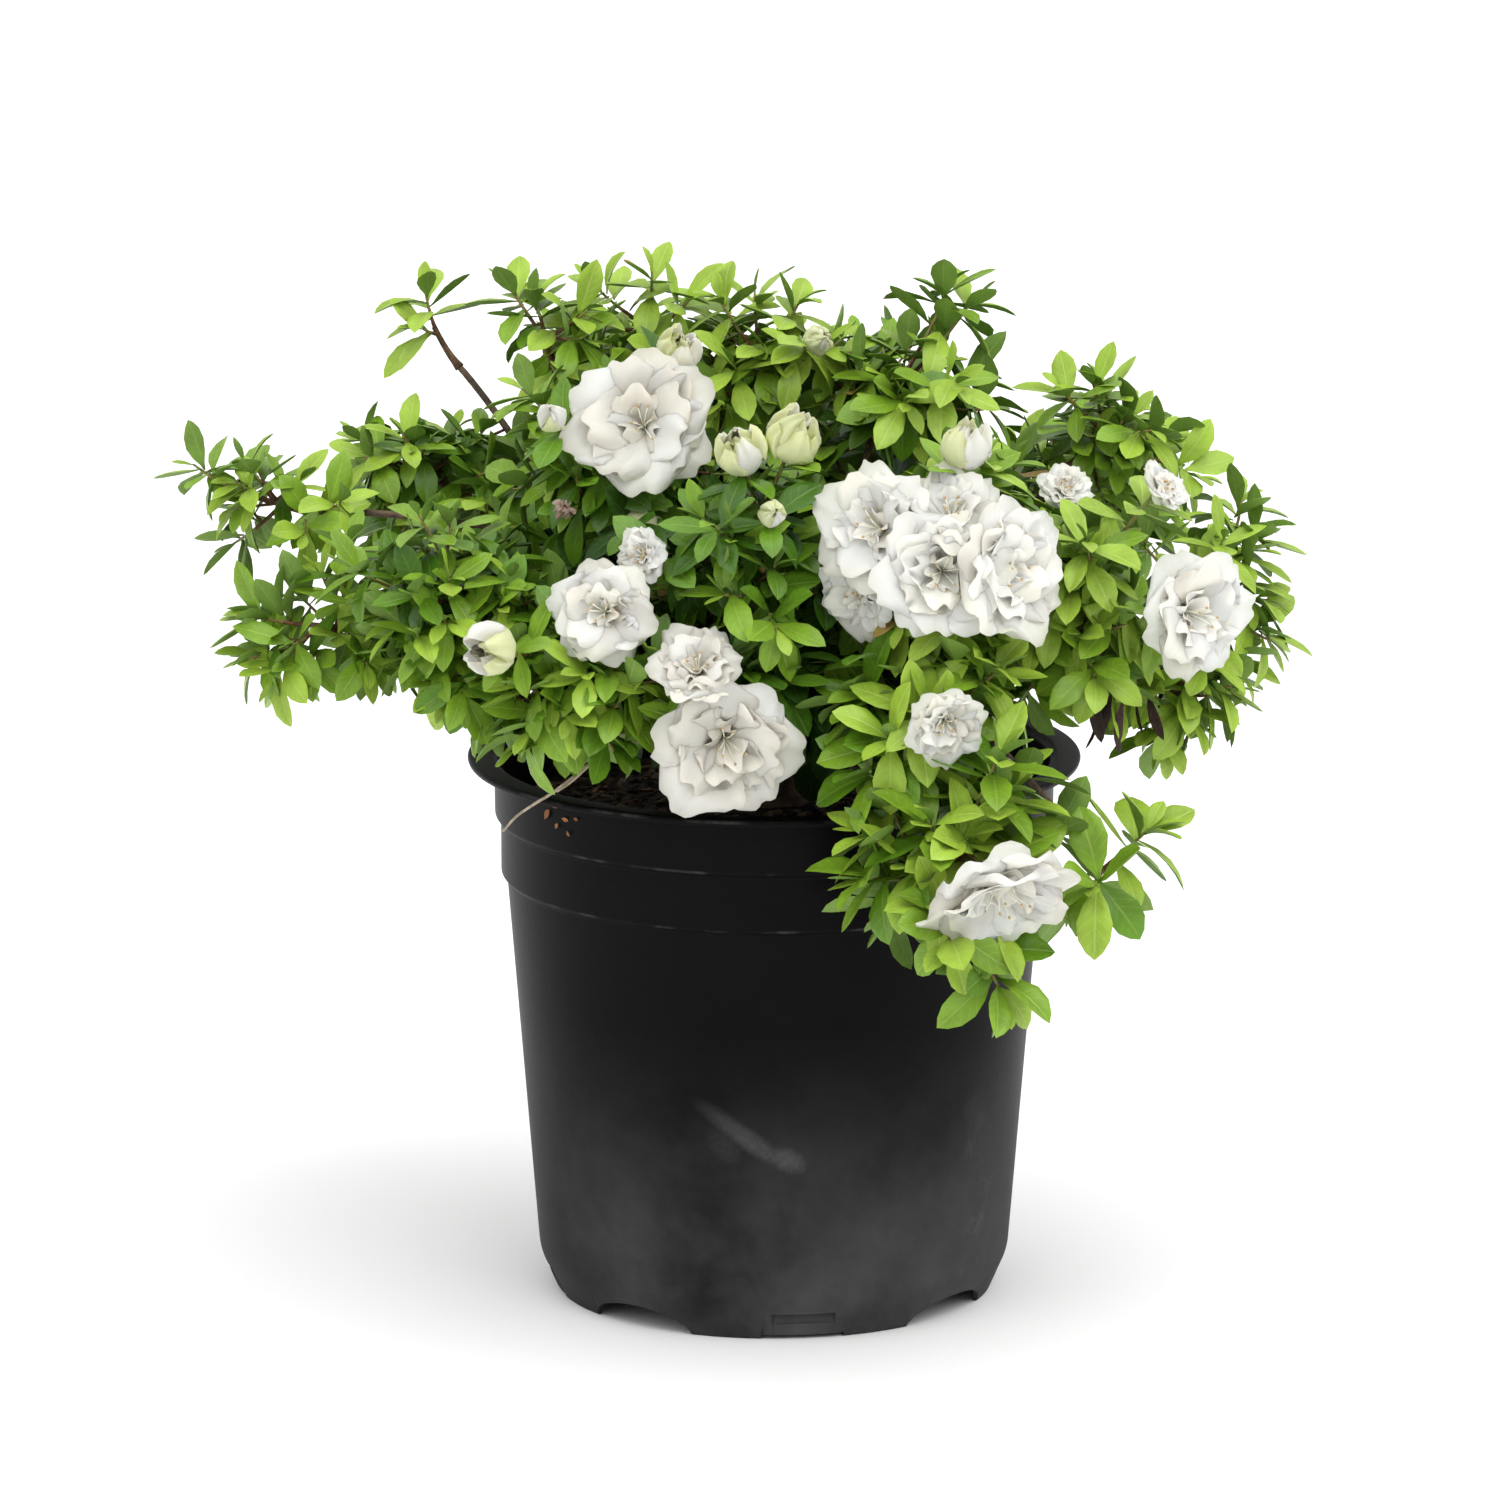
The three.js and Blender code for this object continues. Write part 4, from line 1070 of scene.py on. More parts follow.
    def _plans(self, mass: Mass, stem: Limb, draws: Draws) -> list[Plan]:
        """The shoots to try on a mass's stem: tips, sprigs, stalks, then a spiral that fills its space."""
        plans = []
        for heading, rise, out in mass.tips:
            length = out - 0.5 * self.solid_leaf
            plans.append(Plan(aim(heading, rise), length, self.leave, free=True))
        for heading, rise, out in mass.sprigs:
            for share in self.sprig_leaves:
                start = stem.at(share)
                path = mass.middle + aim(heading, rise) * out - start
                if self.clear_of_limbs([start + path * k / 4 for k in range(1, 5)], stem):
                    break
            plans.append(Plan(path.normalized(), path.length, share, longer=False, free=True))
        for heading, rise, out, radius, face_heading, face_rise in mass.blooms + mass.buds:
            face = aim(face_heading, face_rise)
            seat = mass.middle + aim(heading, rise) * out - face * self.seat * radius
            share = max(self.stalk_step[0], self.leave - self.stalk_step[1] * len(plans))
            path = seat - stem.at(share)
            plans.append(Plan(path.normalized(), path.length, share, bloom=(radius, face), longer=False))
        taken = [plan.way for plan in plans]
        end = stem.way(1)
        spin = 360 * draws()
        opening, run = self.spiral
        least, more = self.spiral_reach
        for i in range(mass.shoots):
            tilt = math.degrees(math.acos(1 - (i + 0.5) / mass.shoots * opening))
            direction = leaning(end, tilt, spin + GOLDEN * i)
            length = mass.spread * (least + more * draws())
            if all(other.dot(direction) <= self.crowded for other in taken):
                plans.append(Plan(direction, length, self.leave - run * i / mass.shoots, mass.lift))
        return plans

    def _shoots(self, mass: Mass, draws: Draws) -> list[Shoot]:
        """The shoots of a mass that find room, then their side shoots."""
        stem = self.stems[mass.name]
        shoots = []
        for plan in self._plans(mass, stem, draws):
            start = stem.at(plan.share)
            for shrink in self.shrinks:
                finish = start + (plan.way + UP * plan.lift) * plan.length * shrink
                path = [start.lerp(finish, k / 4) for k in range(1, 5)]
                lean = self.sprig_overlap if plan.free else -self.mass_gap
                low = plan.free or plan.bloom or finish.z < mass.cap - self.cap_margin
                if low and self._fits(mass, finish, lean) and self.clear_of_limbs(path, stem):
                    longer = finish + (finish - start).normalized() * self.longer
                    if plan.longer and self._fits(mass, longer, 0):
                        finish = longer
                    thick = self.shoot_thick[0]
                    shoots.append(Shoot(start, finish, thick, plan.bloom, plan.bloom is None, plan.free))
                    break
        self.tips += [shoot.finish for shoot in shoots]
        return shoots + self._side_shoots(mass, shoots, stem, draws)

    def _side_shoots(self, mass: Mass, mothers: list[Shoot], stem: Limb, draws: Draws) -> list[Shoot]:
        """The finer shoots on a mass's shoots, on its stem and on its bough.

        Args:
            mass: the mass.
            mothers: its main shoots.
            stem: its stem.
            draws: its random numbers.

        Returns:
            The side shoots.
        """
        heart = Vector((0, 0, self.fork))
        outward = (mass.middle - heart).normalized() * self.outward + UP * (self.outward + mass.lift)
        sides = []
        for shoot in mothers:
            spin = 360 * draws()
            count = 5 if shoot.mother else 2
            for k in range(count):
                share = 0.25 + 0.6 * (k + 0.5) / count
                length = (mass.spread * draws.between(*self.side_reach) + 4) * (1.15 - 0.4 * share)
                direction = leaning(shoot.ahead, draws.between(*self.side_tilt), spin + GOLDEN * k) + outward
                sides.append((shoot.start.lerp(shoot.finish, share), direction, length, self.overlap))
        spin = 360 * draws()
        for k in range(self.stem_sides):
            share = 0.2 + 0.75 * (k + 0.5) / self.stem_sides
            direction = leaning(stem.way(share), draws.between(*self.stem_tilt), spin + GOLDEN * k) + outward
            length = mass.spread * draws.between(*self.stem_reach)
            sides.append((stem.at(share), direction, length, self.overlap))
        found = self._tried(mass, [side for side in sides if draws() < mass.full])
        return found + self._tried(mass, self._inner_shoots(self.boughs[mass.name], spin, draws))

    def _inner_shoots(self, bough: Limb, spin: float, draws: Draws) -> list[tuple]:
        """Short shoots to try all along a bough, which fill the crown's inside."""
        sides = []
        step = self.inner_step / (bough.at(1) - bough.at(0)).length
        for k, share in enumerate(np.arange(self.inner_start, 1, step)):
            direction = leaning(bough.way(share), draws.between(*self.inner_tilt), spin + GOLDEN * k)
            direction = direction + UP * self.inner_rise
            sides.append((bough.at(share), direction, draws.between(*self.inner_reach), self.inner_overlap))
        return sides

    def _tried(self, mass: Mass, sides: list[tuple]) -> list[Shoot]:
        """The side shoots that find room.

        Args:
            mass: their mass.
            sides: each one's start, direction, length and how far it may lean out of its mass.

        Returns:
            The side shoots.
        """
        found = []
        for start, direction, length, overlap in sides:
            direction = direction.normalized()
            for shrink in self.side_shrinks:
                finish = start + direction * length * shrink
                free = self._roomy(finish) and self.within_reach(finish) and self.clear_of_limbs([finish])
                low = finish.z < mass.cap - self.cap_margin
                if free and low and self._fits(mass, finish, overlap):
                    self.tips.append(finish)
                    found.append(Shoot(start, finish, self.shoot_thick[1]))
                    break
        return found


# Pieces

class Tone(IntEnum):
    """The finishes that the leaves' piece numbers."""

    TENDER = 0
    FRESH = 1
    MIDDLE = 2
    DEEP = 3
    OLD = 4
    UNDERSIDE = 5
    BRONZE = 6
    WITHERED = 7


LEAF_FINISHES = {
    Tone.TENDER: LeafFinish("leaf_tender", (0.34, 0.52, 0.05), (0.52, 0.64, 0.16), 0.36),
    Tone.FRESH: LeafFinish("leaf_fresh", (0.205, 0.37, 0.024), (0.38, 0.52, 0.09), 0.34),
    Tone.MIDDLE: LeafFinish("leaf_middle", (0.113, 0.25, 0.013), (0.25, 0.39, 0.06), 0.32),
    Tone.DEEP: LeafFinish("leaf_deep", (0.055, 0.145, 0.009), (0.14, 0.26, 0.04), 0.3),
    Tone.OLD: LeafFinish("leaf_old", (0.024, 0.075, 0.006), (0.08, 0.16, 0.03), 0.32),
    Tone.UNDERSIDE: LeafFinish("leaf_underside", (0.19, 0.32, 0.055), (0.31, 0.43, 0.13), 0.6),
    Tone.BRONZE: LeafFinish("leaf_bronze", (0.36, 0.25, 0.05), (0.44, 0.33, 0.1), 0.5),
    Tone.WITHERED: LeafFinish("leaf_withered", (0.06, 0.028, 0.018), (0.1, 0.055, 0.03), 0.7),
}


@dataclass
class Blade:
    """The shape of a leaf: an elliptic blade with a fold, two swells and a fine tip.

    Attributes:
        outline: the half width at each, as a share of the widest.
        across: where the points of a row stand, from edge to edge.
        swell: how far each half swells, as a share of the width.
    """

    stations: tuple = (0.0, 0.12, 0.3, 0.53, 0.74, 0.9)
    outline: tuple = (0.09, 0.24, 0.69, 1.0, 0.88, 0.47)
    across: tuple = (-1, -0.5, 0, 0.5, 1)
    thick: float = 0.35
    fold: tuple = (4, 22)
    bend: tuple = (-12, 46)
    twist: float = 22
    swell: tuple = (0.05, 0.12)
    straight: float = 0.01

    def pattern(self) -> Pattern:
        """The leaf's faces: a top, an underside and the cut of its stalk."""
        row = len(self.across) + 1
        rows = len(self.stations)
        tip = rows * row
        faces, parts = [], []
        for r in range(rows - 1):
            a, b = r * row, (r + 1) * row
            for k in range(row - 2):
                faces.append((a + k, a + k + 1, b + k + 1, b + k))
                parts.append(0)
            faces += [(a + row - 2, a + row - 1, b + row - 1, b + row - 2), (a + row - 1, a, b, b + row - 1)]
            parts += [1, 1]
        a = (rows - 1) * row
        faces += [(a + k, a + k + 1, tip) for k in range(row - 2)]
        parts += [0] * (row - 2)
        faces += [(a + row - 2, a + row - 1, tip), (a + row - 1, a, tip), tuple(range(row - 1, -1, -1))]
        parts += [1, 1, 1]
        spots = []
        for share in self.stations:
            spots += [(0.5 + 0.5 * x, share) for x in self.across] + [(0.5, share)]
        return Pattern.of(faces, parts, spots + [(0.5, 1.0)])

    def points(
        self, root: Vector, way: Vector, face: Vector, length: float, width: float, draws: Draws
    ) -> np.ndarray:
        """The points of one leaf.

        Args:
            root: where it leaves its shoot.
            way: the direction in which it starts.
            face: the direction that its top faces.
            length: its length.
            width: its greatest width.
            draws: random numbers for its fold, bend and twist.

        Returns:
            The points.
        """
        fold = math.radians(draws.between(*self.fold))
        bend = math.radians(draws.between(*self.bend))
        twist = math.radians(draws.about(self.twist))
        swell = draws.between(*self.swell) * width
        side = np.array(way.cross(face).normalized())
        way, face = np.array(way), np.array(face)
        root = np.array(root)
        rows = []
        for share, half in zip(self.stations + (1.0,), self.outline + (0.0,)):
            angle = bend * share
            bent = abs(bend) > self.straight
            reach = length * (math.sin(angle) / bend if bent else share)
            drop = length * ((math.cos(angle) - 1) / bend if bent else 0)
            normal = face * math.cos(angle) + way * math.sin(angle)
            turn = twist * share
            across = side * math.cos(turn) + normal * math.sin(turn)
            normal = normal * math.cos(turn) - side * math.sin(turn)
            middle = root + way * reach + face * drop
            if share == 1.0:
                rows.append(middle[None, :])
                break
            x = np.array(self.across) * 0.5 * width * half
            lift = np.abs(x) * math.sin(fold) + swell * half * (np.abs(np.array(self.across)) == 0.5)
            top = middle + np.outer(x * math.cos(fold), across) + np.outer(lift, normal)
            rows += [top, (middle - normal * self.thick)[None, :]]
        return np.concatenate(rows)


@dataclass
class Foliage:
    """Leaves in whorls at the shoots' tips, with a few further down.

    Attributes:
        keep_out: balls that blossom fills, which leaves stay out of.
        crowd: the least distance between the middles of two leaves.
        proud: how far leaves may stand out of the solids' box.
        outer: the distances from the crown's heart between which leaves get lighter tones, partly as fresher
            growth and partly as painted light, with painted shade on the crown's inside.
        fresher: how much lighter, what is taken off as painted shade within, and the chance part.
        shaded: how much duller the lowest leaf of a shoot is than its highest, and what that one gains.
        opening: how far a shoot's highest leaf leans out, and how much further its lowest, in degrees.
    """

    skeleton: Skeleton
    keep_out: list[tuple[Vector, float]]
    whorl: int = 7
    spacing: float = 1.4
    crowd: float = 6
    proud: float = 12
    loose: float = 7.5
    outer: tuple = (70, 215)
    fresher: tuple = (0.62, 0.44, 0.24)
    shaded: tuple = (0.4, 0.2)
    opening: tuple = (16, 66)
    long: tuple = (0.86, 1.16)
    wide: tuple = (0.86, 1.12)
    bronze: float = 0.004
    sides: tuple = (
        ("leaves_left", ("left", "top_left")),
        (
            "leaves_middle",
            ("top_centre", "top_right", "upper_front", "heart", "front_blossom", "upper_right"),
        ),
        ("leaves_right", ("right", "blossom_front", "front_skirt", "hanging")),
        ("leaves_back", ("back",)),
    )

    def build(self, effects: Effects) -> list[Object]:
        """Makes the pieces of leaves and dresses them."""
        materials = [LEAF_FINISHES[tone].material(effects) for tone in Tone]
        self.cells: dict[tuple[int, int, int], list[Vector]] = {}
        self.blade, self.leaf = Blade(), Blade().pattern()
        pieces = []
        for name, starts in self.sides:
            pile = Pile(name)
            masses = [mass for mass in MASSES if mass.name.startswith(starts)]
            for mass in masses:
                self._dress(pile, mass, Draws(SEED + 500 + MASSES.index(mass)))
            pieces.append(pile.build(materials, [mass.node for mass in masses], "leaf"))
        return pieces

    def _dress(self, pile: Pile, mass: Mass, draws: Draws) -> None:
        """Puts leaves on every shoot of a mass."""
        heart = Vector((0, 0, self.skeleton.fork))
        outside, shade, chance = self.fresher
        for shoot in self.skeleton.shoots[mass.name]:
            out = (shoot.finish - heart).length
            # painted light and shade: sprays far from the crown's heart get lighter tones and those within
            # darker ones, over the mass's brightness and the spray's own freshness
            lit_freshness = mass.bright + outside * eased(out, *self.outer) - shade + draws.about(chance)
            self._leaves(pile, mass, shoot, lit_freshness, draws)

    def _tone(self, lit_freshness: float) -> Tone:
        """The tone for a lightness about 0 to 1, which is partly freshness and partly painted light and
        shade.
        """
        tones = (Tone.OLD, Tone.DEEP, Tone.MIDDLE, Tone.FRESH, Tone.TENDER)
        return tones[min(4, max(0, int(lit_freshness * 4 + 0.6)))]

    def _leaves(self, pile: Pile, mass: Mass, shoot: Shoot, lit_freshness: float, draws: Draws) -> None:
        """Puts leaves on one shoot: a whorl that opens downwards from its tip, then a looser spiral.

        Args:
            pile: the piece that takes them.
            mass: the mass.
            shoot: the shoot.
            lit_freshness: how light the spray's green is: partly its freshness, partly painted light towards
                the crown's outside and painted shade within it.
            draws: random numbers.
        """
        spin = 360 * draws()
        back = 0.35 * shoot.bloom[0] + 1.5 if shoot.bloom else 0.3
        whorl = self.whorl + 2 * shoot.free if shoot.mother else self.whorl - 1
        count = whorl + int(shoot.reach / 12)
        start = 3 if shoot.bloom else 0
        lean, further = self.opening
        for i in range(start, count):
            low = min(1.0, i / (whorl - 1))
            if back > 0.8 * shoot.reach:
                break
            root = shoot.finish - shoot.ahead * back
            length = mass.leaf * (0.5 + 0.5 * eased(low, 0, 0.5)) * draws.between(*self.long)
            for attempt in range(4):
                tilt = lean + further * low + draws.about(8)
                way = leaning(shoot.ahead, tilt, spin + GOLDEN * i + 41 * attempt)
                way = (way - UP * (0.16 * low + 0.04)).normalized()
                face = shoot.ahead * 0.65 + UP * 0.8
                face = (face - way * face.dot(way)).normalized()
                points = [root + way * length * share for share in (0.5, 0.75, 1)]
                under = shoot.free or max(point.z for point in points) < mass.cap
                if under and self._free(mass, points):
                    self._keep(points[0])
                    tone = self._tone(lit_freshness - self.shaded[0] * low + self.shaded[1] + draws.about(0.09))
                    if draws() < self.bronze:
                        tone = Tone.BRONZE
                    width = length * mass.broad * draws.between(*self.wide)
                    shape = self.blade.points(root, way, face, length, width, draws)
                    pile.add(shape, self.leaf, (tone, Tone.UNDERSIDE))
                    break
            back += self.spacing if i < whorl else self.loose

    def _cell(self, point: Vector) -> tuple[int, int, int]:
        """The cell that a point lies in."""
        return tuple(int(math.floor(value / self.crowd)) for value in point)

    def _keep(self, point: Vector) -> None:
        """Notes a leaf's middle."""
        self.cells.setdefault(self._cell(point), []).append(point)

    def _free(self, mass: Mass, points: list[Vector]) -> bool:
        """Whether a leaf with these points, its middle first, has room."""
        x, y, z = self._cell(points[0])
        for i in (x - 1, x, x + 1):
            for j in (y - 1, y, y + 1):
                for k in (z - 1, z, z + 1):
                    for other in self.cells.get((i, j, k), ()):
                        if (other - points[0]).length < self.crowd:
                            return False
        if any((point - middle).length < radius for point in points for middle, radius in self.keep_out):
            return False
        if not all(Pot.clear(point) for point in points):
            return False
        low, high = (Vector(corner) / MM for corner in CAD_BOX)
        proud = max(max(a - b, b - c) for a, b, c in zip(low, points[2], high))
        return proud < self.proud and self.skeleton.clear_of_limbs(points[:1])


@dataclass(frozen=True)
class PetalRing:
    """One ring of a bloom's petals, its sizes as shares of the bloom's radius.

    Attributes:
        start: the angle from the axis at which they leave, in degrees.
        end: the angle at their rims.
        ruffle: how deep their ruffles are.
        pinch: how far they narrow towards their rims.
    """

    count: int
    reach: float
    width: float
    start: float
    end: float
    ruffle: float
    pinch: float = 0


OPEN_RINGS = (
    PetalRing(6, 1.06, 1.36, 24, 100, 0.11),
    PetalRing(6, 0.88, 1.26, 20, 86, 0.12),
    PetalRing(5, 0.68, 1.16, 16, 74, 0.13),
    PetalRing(4, 0.47, 0.94, 12, 60, 0.13),
    PetalRing(3, 0.26, 0.64, 6, 40, 0.12),
)
OPENING_RINGS = (
    PetalRing(5, 0.84, 1.4, 82, -56, 0.04, 0.35),
    PetalRing(4, 0.68, 1.3, 78, -66, 0.04, 0.5),
    PetalRing(3, 0.46, 1.1, 70, -70, 0.04, 0.6),
)
BUD_RINGS = (PetalRing(4, 0.68, 1.4, 84, -80, 0.02, 0.7), PetalRing(4, 0.54, 1.2, 76, -74, 0.02, 0.75))
SPENT_RINGS = (PetalRing(5, 0.75, 0.6, 30, 100, 0.3), PetalRing(4, 0.5, 0.5, 12, 60, 0.3))


class PetalTone(IntEnum):
    """The finishes that the blossom's piece numbers."""

    WHITE = 0
    IVORY = 1
    SHADED = 2
    THROAT = 3
    GREENISH = 4
    SPENT = 5
    FILAMENT = 6
    ANTHER = 7


PETAL_FINISHES = {
    PetalTone.WHITE: PetalFinish("petal_white", (0.93, 0.915, 0.85), (0.87, 0.84, 0.74)),
    PetalTone.IVORY: PetalFinish("petal_ivory", (0.91, 0.885, 0.77), (0.83, 0.79, 0.63)),
    # painted shade: petal_shaded is a darker copy of the white petal, dealt to blooms that stand in shadow
    PetalTone.SHADED: PetalFinish("petal_shaded", (0.78, 0.74, 0.64), (0.7, 0.63, 0.53)),
    PetalTone.THROAT: PetalFinish("petal_throat", (0.84, 0.8, 0.6), (0.76, 0.7, 0.46)),
    PetalTone.GREENISH: PetalFinish("petal_greenish", (0.8, 0.83, 0.36), (0.86, 0.86, 0.5)),
    PetalTone.SPENT: PetalFinish("petal_spent", (0.4, 0.25, 0.19), (0.22, 0.12, 0.08)),
    PetalTone.FILAMENT: PetalFinish("filament", (0.78, 0.78, 0.6), (0.7, 0.7, 0.5)),
    PetalTone.ANTHER: PetalFinish("anther", (0.42, 0.28, 0.12), (0.3, 0.18, 0.08)),
}


@dataclass
class Petal:
    """The shape of a petal: a curved strip that widens from its foot and ruffles at its rim.

    Attributes:
        claw: its width at the foot, as a share of the widest.
        narrowing: how much it narrows at the rim, and from where.
        scallops: how deep the rim's broad and fine scallops are.
        rounding: how much its sides and its corners are rounded.
        groove: how deep its middle groove is, and how wide.
    """

    rows: int = 7
    columns: int = 16
    thick: float = 0.35
    waver: float = 11
    curl: tuple = (0.7, 1.05)
    longer: tuple = (0.92, 1.05)
    wider: tuple = (0.92, 1.08)
    claw: float = 0.16
    widest: float = 0.7
    narrowing: tuple = (0.3, 0.62)
    pinched: float = 0.4
    waves: tuple = (1.5, 2.3)
    scallops: tuple = (0.04, 0.02)
    rounding: tuple = (0.24, 0.3)
    frill: float = 0.3
    cup: float = 0.2
    groove: tuple = (0.05, 0.25)
    spin: float = 0.13

    def pattern(self) -> Pattern:
        """A petal's faces: its face, the foot of it, and its back within the same rim."""
        wide = self.columns + 1
        tall = self.rows + 1
        faces, parts = [], []

        def front(r: int, k: int) -> int:
            """The number of a point on the face."""
            return r * wide + k

        def back(r: int, k: int) -> int:
            """The number of a point on the back, which shares the rim."""
            if r in (0, tall - 1) or k in (0, wide - 1):
                return front(r, k)
            return wide * tall + (r - 1) * (wide - 2) + k - 1

        for r in range(self.rows):
            for k in range(self.columns):
                faces.append((front(r, k), front(r, k + 1), front(r + 1, k + 1), front(r + 1, k)))
                faces.append((back(r, k), back(r + 1, k), back(r + 1, k + 1), back(r, k + 1)))
                parts += [1 if r < 2 else 0, 0]
        spots = [(k / self.columns, r / self.rows) for r in range(tall) for k in range(wide)]
        spots += [(k / self.columns, r / self.rows) for r in range(1, tall - 1) for k in range(1, wide - 1)]
        return Pattern.of(faces, parts, spots)

    def _width(self, v: np.ndarray, pinch: float) -> np.ndarray:
        """The width along a petal with a pinch, as a share of the widest."""
        share = np.clip(v / self.widest, 0, 1)
        wide = self.claw + (1 - self.claw) * share * share * (3 - 2 * share)
        depth, start = self.narrowing
        wide = wide - depth * np.clip((v - start) / (1 - start), 0, 1) ** 2
        return wide * (1 - pinch * np.clip((v - self.pinched) / (1 - self.pinched), 0, 1) ** 1.5)

    def points(
        self, foot: Vector, face: Vector, turn: float, radius: float, ring: PetalRing, draws: Draws
    ) -> np.ndarray:
        """The points of one petal.

        Args:
            foot: the bloom's foot.
            face: the direction that the bloom faces.
            turn: where about the axis the petal stands, in degrees.
            radius: the bloom's radius.
            ring: the petal's ring.
            draws: random numbers for its ruffles.

        Returns:
            The points.
        """
        out = np.array(leaning(face, 90, turn))
        up = np.array(face)
        across = np.cross(up, out)
        v = np.linspace(0, 1, self.rows + 1)[:, None]
        u = np.linspace(-1, 1, self.columns + 1)[None, :]
        end = ring.end + draws.about(self.waver)
        angle = np.radians(ring.start + (end - ring.start) * v ** draws.between(*self.curl))
        steps = np.vstack([[0, 0], np.hstack([np.sin(angle), np.cos(angle)])[:-1]]) / self.rows
        path = np.cumsum(steps, axis=0)
        path *= ring.reach * radius * draws.between(*self.longer) / path[:, 0].max()
        x = u * 0.5 * ring.width * radius * draws.between(*self.wider) * self._width(v, ring.pinch)
        phase, count = 2 * math.pi * draws(), draws.between(*self.waves)
        broad, fine = self.scallops
        scallop = broad * np.cos(math.pi * 2.1 * u + phase) + fine * np.cos(math.pi * 3.7 * u + 2 * phase)
        side, corner = self.rounding
        round_off = 1 - v**2 * (side * u**2 + corner * u**6) - v**3 * scallop
        r, h = path[:, :1] * round_off, path[:, 1:] * round_off
        fringe = v**1.6 * (0.55 + 0.4 * u**2)
        wave = np.sin(math.pi * count * u + phase + 1.2 * v)
        frill = self.frill * v**2 * np.sin(math.pi * 1.8 * count * u + 2.1 * phase)
        cup = self.cup * u**2 * np.abs(x).max() * (1 - v)
        bump = ring.ruffle * radius * fringe * (wave + frill) + cup
        deep, narrow = self.groove
        bump += -deep * radius * np.exp(-((u / narrow) ** 2)) * v * (1 - 0.5 * v)
        r = r - np.cos(angle) * bump
        h = h + np.sin(angle) * bump
        spin = draws.about(self.spin) * u * v
        place = np.array(foot) + r[..., None] * out + h[..., None] * up + x[..., None] * across
        place = place + (spin * radius)[..., None] * up
        inward = -np.cos(angle)[..., None] * out + np.sin(angle)[..., None] * up
        inner = (place - self.thick * inward)[1:-1, 1:-1]
        return np.concatenate([place.reshape(-1, 3), inner.reshape(-1, 3)])


